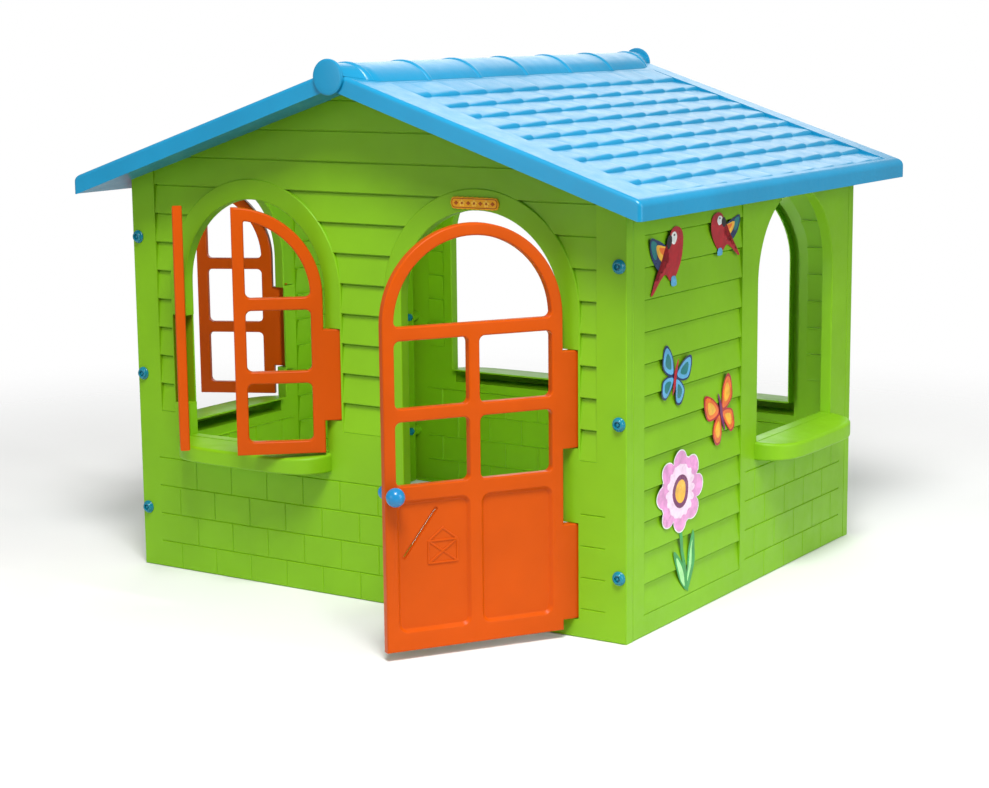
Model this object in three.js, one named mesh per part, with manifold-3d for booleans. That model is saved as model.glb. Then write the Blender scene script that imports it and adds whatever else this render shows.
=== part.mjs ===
// Plastic garden playhouse: four moulded wall panels, two roof panels, a ridge cap, a hinged door and knob,
// hinged window shutters, corner bolts with nuts, a sign plaque and stickers.
// Millimetres, +Z up, front towards -Y. The leaves stand open as drawn; their hinges are vertical.
import * as THREE from 'three';
import { mergeVertices } from 'three/addons/utils/BufferGeometryUtils.js';
import Module from 'manifold-3d';

const wasm = await Module();
wasm.setup();

// Driving dimensions
const HOUSE_WIDTH = 1324;
const HOUSE_DEPTH = 1120;
const SKIN = 4;
const FLANGE = 28;
const GAP = 0.3;

const RIDGE_HEIGHT = 1175;
const ROOF_SLOPE = 0.3285;
const ROOF_HALF_SPAN = 750;
const ROOF_HALF_LENGTH = 659;
const FASCIA_HEIGHT = 40;
const ROOF_UNDERSIDE_DROP = 11;
const TILE_ROWS = 10;
const TILE_LIFT = 6;
const TILE_FIELD_START = 88;
const TILE_FIELD_END = 742;
const FRONT_MARGIN = 100;
const GABLE_RIM = 60;

const RIDGE_CAP_TOP = 1190;
const RIDGE_CAP_HALF_WIDTH = 80;
const RIDGE_TAPER = 100;
const RIDGE_COLLAR_RISE = 4;
const RIDGE_COLLARS = 7;
const RIDGE_COLLAR_LENGTH = 14;
const RIDGE_END_RADIUS = 38.5;
const RIDGE_END_THICKNESS = 9;
const RIDGE_END_TOP = 1200;
const RIDGE_CAP_BASE = 1100;

const OPENING_RADIUS = 201;
const OPENING_SPRING = 684;
const OPENING_OFFSET = 305;
const SIDE_WINDOW_OFFSET = 242;
const WINDOW_BOTTOM = 327;
const DOOR_BOTTOM = 12;
const TRIM_RADIUS = 247;

const BOARD_PITCH = 66.6;
const BOARD_STEP = 7;
const BOARD_TOP_LINE = 1043.8;
const FRONT_SIDING_BOTTOM = BOARD_TOP_LINE - 10 * BOARD_PITCH;
const SIDE_SIDING_BOTTOM = BOARD_TOP_LINE - 15 * BOARD_PITCH;
const FRONT_SIDING_HALF_WIDTH = 592;
const GABLE_SIDING_MARGIN = 26;
const SIDE_WALL_HEIGHT = 950;

const LEDGE_HALF_WIDTH = 212;
const LEDGE_DEPTH = 82;
const LEDGE_BOTTOM = 284;
const LEDGE_FALL = 6;
const LEDGE_SQUARENESS = 5;

const LEAF_RADIUS = 197.5;
const LEAF_SPRING = 683;
const LEAF_THICKNESS = 22;
const SHUTTER_BOTTOM = 331;
const DOOR_LEAF_BOTTOM = 18;
const CENTRE_GAP = 1.5;
const PIVOT_OFFSET = 231;
const STUB_RADIUS = 4;
const STUB_LENGTH = 8;
const UPPER_KNUCKLE = [404, 608];
const LOWER_KNUCKLE = [40, 244];
const NOTCH_OUTER = 243;
const NOTCH_CLEARANCE = 3;
const PANE_ROWS = [[360, 490], [517, 653]];
const TOP_PANE_BOTTOM = 681;
const PANE_CORNER = 12;
const DOOR_STILE = 25;
const DOOR_MULLION = 24;
const SHUTTER_STILE = 27;
const DOOR_PANEL = [55, 330];
const DOOR_PANEL_RECESS = 8;

const DOOR_OPEN = 57;
const FRONT_SHUTTER_OPEN = { left: 48, right: 40 };
const SIDE_SHUTTER_OPEN = { rear: 64.5, front: 55 };

const BOLT_INSET = 17;
const BOLT_HEIGHTS = [786, 463, 140];
const BOLT_RADIUS = 5;
const BOLT_CLEARANCE = 0.4;
const BOLT_BOSS_RADIUS = 13.5;
const BOLT_CAP_RADIUS = 15;
const BOLT_LENGTH = 43;
const NUT_RADIUS = 11;
const NUT_THICKNESS = 8;

const KNOB_HEIGHT = 345;
const KNOB_INSET = 13;
const KNOB_RADIUS = 19.5;
const KNOB_HOLE_RADIUS = 6.4;
const KNOB_SHAFT_RADIUS = 6;
const KNOB_NECK_RADIUS = 9;
const INNER_KNOB_RADIUS = 15;
const INNER_KNOB_DEPTH = 22;

const STICKER_LIFT = 1.1;

// Steps in a quarter turn of the big arches and of small corners, and in a full turn of holes and round parts
const ARC_STEPS = 9;
const CORNER_STEPS = 2;
const HOLE_STEPS = 8;
const ROUND_STEPS = 10;
const ROLL_STEPS = 20;

// How far the hidden side of a lap is set back, so that neighbouring boards or tiles stay joined
const LAP_JOIN = 5;

// ---------- solids ----------

function toSolid(geometry) {
  const plain = geometry.clone();
  plain.deleteAttribute('normal');
  plain.deleteAttribute('uv');
  const merged = mergeVertices(plain, 1e-3);
  const corners = merged.index.array;
  const kept = [];
  for (let i = 0; i < corners.length; i += 3) {
    const [a, b, c] = [corners[i], corners[i + 1], corners[i + 2]];
    if (a !== b && b !== c && c !== a) {
      kept.push(a, b, c);
    }
  }
  const vertProperties = new Float32Array(merged.attributes.position.array);
  const mesh = (triVerts) => new wasm.Mesh({ numProp: 3, vertProperties, triVerts });
  const body = new wasm.Manifold(mesh(new Uint32Array(kept)));
  return body.volume() > 0 ? body : new wasm.Manifold(mesh(new Uint32Array(kept.reverse())));
}

function toGeometry(body) {
  const { vertProperties, triVerts } = body.getMesh();
  const geometry = new THREE.BufferGeometry();
  geometry.setAttribute('position', new THREE.BufferAttribute(vertProperties, 3));
  geometry.setIndex(new THREE.BufferAttribute(triVerts, 1));
  geometry.computeVertexNormals();
  return geometry;
}

function join(bodies) {
  return bodies.reduce((all, body) => all.add(body));
}

function cut(body, cutters) {
  return cutters.reduce((rest, cutter) => rest.subtract(cutter), body);
}

function polygon(points) {
  return new THREE.Shape(points.map(([x, y]) => new THREE.Vector2(x, y)));
}

// A shape in the XY plane, made thick from z = low to z = high
function plate(shape, low, high, quarterSteps = ARC_STEPS) {
  const settings = { depth: high - low, bevelEnabled: false, curveSegments: quarterSteps };
  const geometry = new THREE.ExtrudeGeometry(shape, settings);
  geometry.translate(0, 0, low);
  return toSolid(geometry);
}

// A section given as [y, z] points, drawn out along X
function prismAlongX(points, low, high) {
  const geometry = new THREE.ExtrudeGeometry(polygon(points), { depth: high - low, bevelEnabled: false });
  geometry.translate(0, 0, low);
  geometry.applyMatrix4(new THREE.Matrix4().set(0, 0, 1, 0, 1, 0, 0, 0, 0, 1, 0, 0, 0, 0, 0, 1));
  return toSolid(geometry);
}

// A section given as [z, x] points, drawn out along Y
function prismAlongY(points, low, high) {
  const geometry = new THREE.ExtrudeGeometry(polygon(points), { depth: high - low, bevelEnabled: false });
  geometry.translate(0, 0, low);
  geometry.applyMatrix4(new THREE.Matrix4().set(0, 1, 0, 0, 0, 0, 1, 0, 1, 0, 0, 0, 0, 0, 0, 1));
  return toSolid(geometry);
}

function block(low, high) {
  const size = high.map((value, axis) => value - low[axis]);
  const geometry = new THREE.BoxGeometry(...size);
  geometry.translate(...low.map((value, axis) => value + size[axis] / 2));
  return toSolid(geometry);
}

// A round bar along X, Y or Z through the given point, from low to high on that axis
function bar(axis, centre, radius, low, high, steps = ROUND_STEPS) {
  const geometry = new THREE.CylinderGeometry(radius, radius, high - low, steps);
  const [x, y, z] = centre;
  const middle = (low + high) / 2;
  if (axis === 'x') {
    geometry.rotateZ(Math.PI / 2);
    geometry.translate(middle, y, z);
  } else if (axis === 'y') {
    geometry.translate(x, middle, z);
  } else {
    geometry.rotateX(Math.PI / 2);
    geometry.translate(x, y, middle);
  }
  return toSolid(geometry);
}

// A profile of [radius, height] points turned about Z
function turned(points, steps = ROUND_STEPS) {
  const geometry = new THREE.LatheGeometry(points.map(([r, h]) => new THREE.Vector2(r, h)), steps);
  geometry.rotateX(Math.PI / 2);
  return toSolid(geometry);
}

function archShape(centre, halfWidth, bottom, spring) {
  const shape = new THREE.Shape();
  shape.moveTo(centre - halfWidth, bottom);
  shape.lineTo(centre + halfWidth, bottom);
  shape.absarc(centre, spring, halfWidth, 0, Math.PI, false);
  shape.closePath();
  return shape;
}

function roundedRectangle(left, right, bottom, top, radius) {
  const shape = new THREE.Shape();
  shape.absarc(right - radius, bottom + radius, radius, -Math.PI / 2, 0, false);
  shape.absarc(right - radius, top - radius, radius, 0, Math.PI / 2, false);
  shape.absarc(left + radius, top - radius, radius, Math.PI / 2, Math.PI, false);
  shape.absarc(left + radius, bottom + radius, radius, Math.PI, Math.PI * 1.5, false);
  shape.closePath();
  return shape;
}

// ---------- materials ----------

const COLOURS = {
  green: [0x86c22b, 0.42],
  blue: [0x2f9fe0, 0.38],
  orange: [0xf0650f, 0.36],
  bolt: [0x1f93b8, 0.3],
  knob: [0x3fa4e6, 0.25],
  gold: [0xe0a020, 0.4],
  stickerRed: [0xc02a2a, 0.35],
  stickerBlue: [0x3a86c8, 0.35],
  stickerOrange: [0xe0842a, 0.35],
  stickerPink: [0xe7a9cf, 0.35],
};

function namedMesh(name, body, colour) {
  const [color, roughness] = COLOURS[colour];
  const material = new THREE.MeshStandardMaterial({ color, roughness, metalness: 0 });
  const mesh = new THREE.Mesh(toGeometry(body), material);
  mesh.name = name;
  return mesh;
}

// ---------- wall panels ----------
// A wall is drawn as seen from outside: x to the right, y up, z outwards, with its outer face at z = 0.

const roofTop = (x) => RIDGE_HEIGHT - ROOF_SLOPE * Math.abs(x);

function gableOutline(inset) {
  const half = HOUSE_WIDTH / 2 - inset;
  const drop = ROOF_UNDERSIDE_DROP + 0.5 + inset * Math.hypot(1, ROOF_SLOPE);
  return [
    [-half, inset],
    [half, inset],
    [half, roofTop(half) - drop],
    [0, roofTop(0) - drop],
    [-half, roofTop(half) - drop],
  ];
}

function squareOutline(inset) {
  const half = HOUSE_DEPTH / 2 - FLANGE - GAP - inset;
  return [[-half, inset], [half, inset], [half, SIDE_WALL_HEIGHT - inset], [-half, SIDE_WALL_HEIGHT - inset]];
}

// Lapped boards: each board leans out towards its lower edge
function boardSurface(bottom, top, depth) {
  const points = [];
  for (let low = bottom; low < top; low += BOARD_PITCH) {
    points.push([low, -1 - depth], [low + BOARD_PITCH, -1 - BOARD_STEP - depth]);
  }
  return points;
}

function aboveBoards(bottom, top, depth, halfWidth) {
  const surface = boardSurface(bottom, top, depth);
  const end = surface[surface.length - 1][0];
  return prismAlongX([...surface, [end, 2], [bottom, 2]], -halfWidth, halfWidth);
}

function boardField({ left, right, bottom, top }, inset, gable) {
  const field = block([left - inset, bottom, -FLANGE], [right + inset, top, 3]);
  if (!gable) {
    return field;
  }
  return field.intersect(plate(polygon(gableOutline(GABLE_SIDING_MARGIN - inset)), -FLANGE, 3));
}

// Window ledge: bowed in plan, its top falling outwards
function ledgeBody(centre, inset) {
  const half = LEDGE_HALF_WIDTH - inset;
  const depth = LEDGE_DEPTH - inset;
  const steps = 12;
  const plan = [[-FLANGE + SKIN, centre + half], [-FLANGE + SKIN, centre - half]];
  for (let i = 0; i <= steps; i += 1) {
    const across = -Math.cos((Math.PI * i) / steps);
    plan.push([depth * Math.sqrt(1 - Math.abs(across) ** LEDGE_SQUARENESS), centre + half * across]);
  }
  const low = LEDGE_BOTTOM + inset;
  const high = WINDOW_BOTTOM - inset;
  const section = [
    [low, -FLANGE],
    [high, -FLANGE],
    [high, 0],
    [high - LEDGE_FALL, LEDGE_DEPTH],
    [low, LEDGE_DEPTH],
  ];
  return prismAlongY(plan, low, high).intersect(prismAlongX(section, centre - half - 1, centre + half + 1));
}

function notchBlock(opening, { side, knuckle }, inset) {
  const [low, high] = knuckle;
  const inner = opening.centre + side * (OPENING_RADIUS - 20);
  const outer = opening.centre + side * (NOTCH_OUTER + inset);
  return block(
    [Math.min(inner, outer), low - NOTCH_CLEARANCE - inset, -FLANGE - 2],
    [Math.max(inner, outer), high + NOTCH_CLEARANCE + inset, 3],
  );
}

function openingPlate(opening, inset) {
  const shape = archShape(opening.centre, OPENING_RADIUS + inset, opening.bottom - inset, OPENING_SPRING);
  return plate(shape, -FLANGE - 2, 3);
}

function wallPanel({ outline, openings, siding, gable, trim, bolts }) {
  const field = boardField(siding, 0, gable);
  const trims = (inset) => (trim ? openings : []).map(
    (o) => plate(archShape(o.centre, TRIM_RADIUS - inset, 0, OPENING_SPRING), -FLANGE - 1, 4));
  const relief = cut(field, trims(0)).intersect(aboveBoards(siding.bottom, siding.top, 0, HOUSE_WIDTH));
  const ledges = openings.filter((o) => o.bottom === WINDOW_BOTTOM);
  const notches = openings.flatMap((o) => o.notches.map((n) => [o, n]));

  const backing = cut(boardField(siding, SKIN, gable), trims(SKIN))
    .intersect(aboveBoards(siding.bottom + LAP_JOIN, siding.top, SKIN, HOUSE_WIDTH));
  let hollow = plate(polygon(outline(SKIN)), -FLANGE - 1, -SKIN);
  hollow = cut(hollow, [
    backing,
    ...openings.map((o) => openingPlate(o, SKIN)),
    ...notches.map(([o, n]) => notchBlock(o, n, SKIN)),
  ]);
  hollow = join([hollow, ...ledges.map((o) => ledgeBody(o.centre, SKIN))]);

  let body = plate(polygon(outline(0)), -FLANGE, 0);
  body = cut(body, [relief]);
  body = join([body, ...ledges.map((o) => ledgeBody(o.centre, 0))]);
  body = cut(body, [
    hollow,
    ...openings.map((o) => openingPlate(o, 0)),
    ...notches.map(([o, n]) => notchBlock(o, n, 0)),
  ]);

  const half = HOUSE_WIDTH / 2 - BOLT_INSET;
  const places = [-1, 1].flatMap((side) => BOLT_HEIGHTS.map((height) => [side, height]));
  const holeRadius = BOLT_RADIUS + BOLT_CLEARANCE;
  if (bolts === 'face') {
    const along = (radius, low, high) => places.map(
      ([side, y]) => bar('z', [side * half, y, 0], radius, low, high, HOLE_STEPS));
    body = join([body, ...along(BOLT_BOSS_RADIUS, -FLANGE, -SKIN / 2)]);
    body = cut(body, along(holeRadius, -FLANGE - 1, 1));
  } else {
    const end = HOUSE_DEPTH / 2 - FLANGE;
    const hole = ([side, y]) => {
      const span = [side * (end - 2 * SKIN), side * (end + 1)].sort((a, b) => a - b);
      return bar('x', [0, y, -BOLT_INSET], holeRadius, ...span, HOLE_STEPS);
    };
    body = cut(body, places.map(hole));
  }
  const pivotHoles = notches.flatMap(([o, { side, knuckle }]) => {
    const centre = [o.centre + side * PIVOT_OFFSET, 0, -LEAF_THICKNESS / 2];
    const [low, high] = knuckle;
    return [
      bar('y', centre, STUB_RADIUS + 0.4, low - NOTCH_CLEARANCE - SKIN - 1, low, HOLE_STEPS),
      bar('y', centre, STUB_RADIUS + 0.4, high, high + NOTCH_CLEARANCE + SKIN + 1, HOLE_STEPS),
    ];
  });
  return cut(body, pivotHoles);
}

// ---------- door and shutter leaves ----------
// A leaf is drawn like its wall, with x measured from its own pivot line and z from its mid-plane.

function leafBody({ side, bottom, double, knuckles, panes }) {
  const half = LEAF_THICKNESS / 2;
  let body = plate(archShape(0, LEAF_RADIUS, bottom, LEAF_SPRING), -half, half);
  if (!double) {
    const limits = side > 0 ? [CENTRE_GAP, LEAF_RADIUS + 1] : [-LEAF_RADIUS - 1, -CENTRE_GAP];
    body = body.intersect(block([limits[0], bottom - 1, -half - 1], [limits[1], 900, half + 1]));
  }
  const pivot = side * PIVOT_OFFSET;
  const root = side * (LEAF_RADIUS - 10);
  const solids = knuckles.flatMap(([low, high]) => [
    block([Math.min(pivot, root), low, -half], [Math.max(pivot, root), high, half]),
    bar('y', [pivot, 0, 0], half, low, high, 16),
    bar('y', [pivot, 0, 0], STUB_RADIUS, low - STUB_LENGTH, high + STUB_LENGTH, HOLE_STEPS),
  ]);
  body = cut(join([body, ...solids]), panes.map((shape) => plate(shape, -half - 1, half + 1, CORNER_STEPS)));
  return body.translate([-pivot, 0, 0]);
}

// Top pane of a leaf: from inner to outer edge, under an arch round the opening's centre
function topPane(inner, outer, radius) {
  const shape = new THREE.Shape();
  const edge = (x) => LEAF_SPRING + Math.sqrt(Math.max(radius ** 2 - x ** 2, 0));
  const corner = PANE_CORNER;
  shape.moveTo(inner + corner, TOP_PANE_BOTTOM);
  shape.lineTo(outer - corner, TOP_PANE_BOTTOM);
  shape.quadraticCurveTo(outer, TOP_PANE_BOTTOM, outer, TOP_PANE_BOTTOM + corner);
  const from = Math.asin(Math.min((TOP_PANE_BOTTOM + corner - LEAF_SPRING) / radius, 1));
  const to = Math.acos(inner / radius);
  const steps = inner < 0 ? 2 * ARC_STEPS : ARC_STEPS;
  for (let i = 0; i <= steps; i += 1) {
    const angle = from + ((inner < 0 ? Math.PI - 2 * from : to - from) * i) / steps;
    shape.lineTo(radius * Math.cos(angle), LEAF_SPRING + radius * Math.sin(angle));
  }
  if (inner >= 0) {
    shape.lineTo(inner, edge(inner));
  }
  shape.lineTo(inner, TOP_PANE_BOTTOM + corner);
  shape.quadraticCurveTo(inner, TOP_PANE_BOTTOM, inner + corner, TOP_PANE_BOTTOM);
  return shape;
}

function mirrored(shape) {
  return polygon(shape.getPoints(CORNER_STEPS).map((p) => [-p.x, p.y]).reverse());
}

function shutterBody(side) {
  const inner = CENTRE_GAP + SHUTTER_STILE;
  const outer = LEAF_RADIUS - SHUTTER_STILE;
  const rows = PANE_ROWS.map(([low, high]) => roundedRectangle(inner, outer, low, high, PANE_CORNER));
  const panes = [...rows, topPane(inner, outer, LEAF_RADIUS - SHUTTER_STILE)];
  return leafBody({
    side,
    bottom: SHUTTER_BOTTOM,
    double: false,
    knuckles: [UPPER_KNUCKLE],
    panes: side > 0 ? panes : panes.map(mirrored),
  });
}

function doorBody() {
  const inner = DOOR_MULLION / 2;
  const outer = LEAF_RADIUS - DOOR_STILE;
  const half = LEAF_THICKNESS / 2;
  const columns = [[-outer, -inner], [inner, outer]];
  const panes = columns.flatMap(([left, right]) => PANE_ROWS.map(
    ([low, high]) => roundedRectangle(left, right, low, high, PANE_CORNER)));
  panes.push(topPane(-outer, outer, outer));
  let body = leafBody({
    side: 1,
    bottom: DOOR_LEAF_BOTTOM,
    double: true,
    knuckles: [UPPER_KNUCKLE, LOWER_KNUCKLE],
    panes,
  });
  const recesses = columns.flatMap(([left, right]) => {
    const shape = roundedRectangle(left - PIVOT_OFFSET, right - PIVOT_OFFSET, ...DOOR_PANEL, PANE_CORNER);
    return [
      plate(shape, half - DOOR_PANEL_RECESS, half + 1, CORNER_STEPS),
      plate(shape, -half - 1, -half + DOOR_PANEL_RECESS, CORNER_STEPS),
    ];
  });
  body = cut(body, recesses);
  body = cut(body, [letterSlot().translate([-PIVOT_OFFSET, 0, 0])]);
  const knobCentre = [KNOB_INSET - LEAF_RADIUS - PIVOT_OFFSET, KNOB_HEIGHT, 0];
  return cut(body, [bar('z', knobCentre, KNOB_HOLE_RADIUS, -half - 1, half + 1, 12)]);
}

// Sloping slot with round ends through the door's free-side lower panel
function letterSlot() {
  const [x0, y0, x1, y1] = [-156, 222, -86, 315];
  const length = Math.hypot(x1 - x0, y1 - y0);
  const shape = roundedRectangle(-length / 2, length / 2, -5, 5, 4.9);
  const slot = plate(shape, -8, 8, CORNER_STEPS);
  const tilt = THREE.MathUtils.radToDeg(Math.atan2(y1 - y0, x1 - x0));
  return slot.rotate([0, 0, tilt]).translate([(x0 + x1) / 2, (y0 + y1) / 2, 0]);
}

function knobOuter() {
  const face = LEAF_THICKNESS / 2 + GAP;
  const centre = face + 5 + KNOB_RADIUS * 0.92;
  const ball = [];
  const start = Math.asin(KNOB_NECK_RADIUS / KNOB_RADIUS);
  const steps = 6;
  for (let i = 0; i < steps; i += 1) {
    const angle = start + ((Math.PI - start) * i) / steps;
    ball.push([KNOB_RADIUS * Math.sin(angle), centre - KNOB_RADIUS * Math.cos(angle)]);
  }
  ball.push([0, centre + KNOB_RADIUS]);
  const shaft = [[0, -face - 14], [KNOB_SHAFT_RADIUS, -face - 14], [KNOB_SHAFT_RADIUS, face]];
  return turned([...shaft, [KNOB_NECK_RADIUS + 2, face], [KNOB_NECK_RADIUS, face + 2], ...ball], 12);
}

function knobInner() {
  const face = LEAF_THICKNESS / 2 + GAP;
  const radius = INNER_KNOB_RADIUS;
  const depth = INNER_KNOB_DEPTH;
  const socket = KNOB_SHAFT_RADIUS + GAP;
  return turned([
    [socket, -face],
    [11, -face],
    [radius - 1, -face - 7],
    [radius, -face - 12],
    [radius - 3, -face - 18],
    [8, -face - depth],
    [0, -face - depth],
    [0, -face - 14.5],
    [socket, -face - 14.5],
    [socket, -face],
  ], 12);
}

// ---------- roof ----------

// Slope surface with its tile courses: each course is lifted at its lower edge
function tileSurface(drop, shift) {
  const pitch = (TILE_FIELD_END - TILE_FIELD_START) / TILE_ROWS;
  const points = [];
  for (let row = 0; row < TILE_ROWS; row += 1) {
    const start = TILE_FIELD_START + row * pitch;
    points.push([start - shift, roofTop(start - shift) - 1 - TILE_LIFT - drop]);
    points.push([start + pitch - shift, roofTop(start + pitch - shift) - 1 - drop]);
  }
  return points;
}

function swap(points) {
  return points.map(([x, z]) => [z, x]);
}

function roofPanel() {
  const ridge = 1;
  const eave = ROOF_HALF_SPAN;
  const outline = [
    [ridge, roofTop(ridge)],
    [eave, roofTop(eave)],
    [eave, roofTop(eave) - FASCIA_HEIGHT],
    [ridge, roofTop(ridge) - FASCIA_HEIGHT],
  ];
  const inner = eave - SKIN;
  const under = (x) => [x, roofTop(x) - ROOF_UNDERSIDE_DROP];
  const hollow = [under(0), ...tileSurface(SKIN, LAP_JOIN), under(inner), [inner, 800], [0, 800]];
  const low = roofTop(TILE_FIELD_END);
  const cutter = [
    ...tileSurface(0, 0),
    [TILE_FIELD_END, low + 5],
    [TILE_FIELD_START, roofTop(TILE_FIELD_START) + 5],
  ];
  const body = prismAlongY(swap(outline), -ROOF_HALF_LENGTH, ROOF_HALF_LENGTH);
  return cut(body, [
    prismAlongY(swap(hollow), -ROOF_HALF_LENGTH + SKIN, ROOF_HALF_LENGTH - SKIN),
    prismAlongY(swap(cutter), -ROOF_HALF_LENGTH + FRONT_MARGIN, ROOF_HALF_LENGTH - GABLE_RIM),
  ]);
}

// Arched section of the ridge cap at y, grown by the given amount; its feet stand on the roof slopes
function capSection(y, growth) {
  const steps = 12;
  const taper = Math.min((ROOF_HALF_LENGTH + GAP - Math.abs(y)) / RIDGE_TAPER, 1);
  const narrow = RIDGE_END_RADIUS - 3;
  const half = narrow + (RIDGE_CAP_HALF_WIDTH - narrow) * Math.max(taper, 0) + growth;
  const top = RIDGE_CAP_TOP + growth;
  const foot = roofTop(half);
  const rise = top - foot;
  const radius = (half ** 2 + rise ** 2) / (2 * rise);
  const reach = Math.asin(half / radius);
  const points = [[half, RIDGE_CAP_BASE], [-half, RIDGE_CAP_BASE]];
  for (let i = 0; i <= steps; i += 1) {
    const angle = -reach + (2 * reach * i) / steps;
    points.push([radius * Math.sin(angle), top - radius + radius * Math.cos(angle)]);
  }
  return points.map(([x, z]) => [x, y, z]);
}

// Closed body through a row of outlines that have the same number of corners
function loft(outlines) {
  const count = outlines[0].length;
  const index = [];
  for (let s = 0; s + 1 < outlines.length; s += 1) {
    for (let i = 0; i < count; i += 1) {
      const [here, next] = [s * count + i, s * count + ((i + 1) % count)];
      index.push(here, next, next + count, here, next + count, here + count);
    }
  }
  const last = (outlines.length - 1) * count;
  for (let i = 1; i + 1 < count; i += 1) {
    index.push(0, i + 1, i, last, last + i, last + i + 1);
  }
  const geometry = new THREE.BufferGeometry();
  geometry.setAttribute('position', new THREE.BufferAttribute(new Float32Array(outlines.flat(2)), 3));
  geometry.setIndex(index);
  return toSolid(geometry);
}

function ridgeCap() {
  const reach = ROOF_HALF_LENGTH + GAP;
  const wide = reach - RIDGE_TAPER;
  const shell = (end, growth) => loft([-end, -wide, wide, end].map((y) => capSection(y, growth)));
  const spacing = (2 * ROOF_HALF_LENGTH - 120) / (RIDGE_COLLARS - 1);
  const collars = Array.from({ length: RIDGE_COLLARS }, (_, i) => {
    const middle = -ROOF_HALF_LENGTH + 60 + i * spacing;
    const ends = [-RIDGE_COLLAR_LENGTH / 2, RIDGE_COLLAR_LENGTH / 2];
    return loft(ends.map((offset) => capSection(middle + offset, RIDGE_COLLAR_RISE)));
  });
  const side = RIDGE_CAP_HALF_WIDTH + 20;
  const below = [
    [roofTop(side) + GAP, -side],
    [roofTop(0) + GAP, 0],
    [roofTop(side) + GAP, side],
    [RIDGE_CAP_BASE - 50, side],
    [RIDGE_CAP_BASE - 50, -side],
  ];
  const body = cut(join([shell(reach + 1, 0), ...collars]), [
    shell(reach, -SKIN),
    prismAlongY(below, -reach - 2, reach + 2),
  ]);
  const ends = [-1, 1].map((direction) => {
    const r = RIDGE_END_RADIUS;
    const profile = [[0, 0], [r - 1, 0], [r, 2], [r, 5], [r - 4, 8], [0, RIDGE_END_THICKNESS]];
    const disc = turned(profile, ROLL_STEPS).rotate([direction > 0 ? -90 : 90, 0, 0]);
    return disc.translate([0, direction * reach, RIDGE_END_TOP - RIDGE_END_RADIUS]);
  });
  return join([body, ...ends]);
}

// ---------- fasteners and trim ----------

function boltBody() {
  return turned([
    [0, -BOLT_LENGTH],
    [BOLT_RADIUS, -BOLT_LENGTH],
    [BOLT_RADIUS, GAP],
    [BOLT_CAP_RADIUS, GAP],
    [BOLT_CAP_RADIUS, 3],
    [10, 8],
    [0, 9.5],
  ]);
}

function nutBody() {
  const far = -FLANGE - GAP - SKIN - GAP;
  const near = far - NUT_THICKNESS;
  const ring = bar('z', [0, 0, 0], NUT_RADIUS, near, far, 6);
  return cut(ring, [bar('z', [0, 0, 0], BOLT_RADIUS + BOLT_CLEARANCE, near - 1, far + 1, HOLE_STEPS)]);
}

function ellipse(x, y, radiusX, radiusY, turn = 0) {
  const shape = new THREE.Shape();
  shape.absellipse(0, 0, radiusX, radiusY, 0, 2 * Math.PI, false, 0);
  return plate(shape, GAP, STICKER_LIFT, 6).rotate([0, 0, turn]).translate([x, y, 0]);
}

function birdSticker(size, facing) {
  const parts = [
    ellipse(0, 0, 0.3 * size, 0.19 * size, 35 * facing),
    ellipse(0.24 * size * facing, 0.24 * size, 0.14 * size, 0.13 * size),
    ellipse(-0.3 * size * facing, -0.24 * size, 0.24 * size, 0.07 * size, 42 * facing),
    ellipse(-0.14 * size * facing, 0.16 * size, 0.26 * size, 0.1 * size, -25 * facing),
  ];
  return join(parts);
}

function butterflySticker(width, height) {
  const wings = [-1, 1].flatMap((side) => [
    ellipse(side * width * 0.25, height * 0.18, width * 0.26, height * 0.24, side * 28),
    ellipse(side * width * 0.19, -height * 0.22, width * 0.19, height * 0.2, -side * 24),
  ]);
  return join([ellipse(0, 0, width * 0.05, height * 0.36), ...wings]);
}

function flowerSticker(width, height) {
  const petals = 8;
  const shape = new THREE.Shape();
  const steps = petals * 6;
  for (let i = 0; i < steps; i += 1) {
    const angle = (2 * Math.PI * i) / steps;
    const reach = 0.78 + 0.22 * Math.abs(Math.cos((petals * angle) / 2));
    const point = [(Math.cos(angle) * reach * width) / 2, (Math.sin(angle) * reach * height) / 2];
    if (i === 0) {
      shape.moveTo(...point);
    } else {
      shape.lineTo(...point);
    }
  }
  shape.closePath();
  const stem = ellipse(18, -height * 0.78, 7, height * 0.55, 8);
  const leaves = [ellipse(-8, -height * 1.0, 44, 12, -48), ellipse(50, -height * 0.98, 46, 12, 52)];
  return join([plate(shape, GAP, STICKER_LIFT, 1), stem, ...leaves]);
}

// ---------- assembly ----------

// A frame for one side of the house: what is put in it is drawn as seen from outside that side
function sideFrame(turn, distance) {
  const spin = new THREE.Group();
  spin.rotation.z = THREE.MathUtils.degToRad(turn);
  const frame = new THREE.Group();
  frame.position.y = -distance;
  frame.rotation.x = Math.PI / 2;
  spin.add(frame);
  house.add(spin);
  return frame;
}

function hangLeaf(frame, centre, side, open, meshes) {
  const hinge = new THREE.Group();
  hinge.position.set(centre + side * PIVOT_OFFSET, 0, -LEAF_THICKNESS / 2);
  hinge.rotation.y = THREE.MathUtils.degToRad(side * open);
  hinge.add(...meshes);
  frame.add(hinge);
}

function fitBolts(frame, label) {
  for (const [sideName, side] of [['left', -1], ['right', 1]]) {
    BOLT_HEIGHTS.forEach((height, i) => {
      const place = [side * (HOUSE_WIDTH / 2 - BOLT_INSET), height, 0];
      const level = ['top', 'middle', 'bottom'][i];
      const bolt = namedMesh(`corner_bolt_${label}_${sideName}_${level}`, boltBody(), 'bolt');
      const nut = namedMesh(`corner_nut_${label}_${sideName}_${level}`, nutBody(), 'bolt');
      bolt.position.set(...place);
      nut.position.set(...place);
      frame.add(bolt, nut);
    });
  }
}

function windowOpening(centre, shuttered) {
  const sides = shuttered ? [-1, 1] : [];
  return { centre, bottom: WINDOW_BOTTOM, notches: sides.map((side) => ({ side, knuckle: UPPER_KNUCKLE })) };
}

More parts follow.
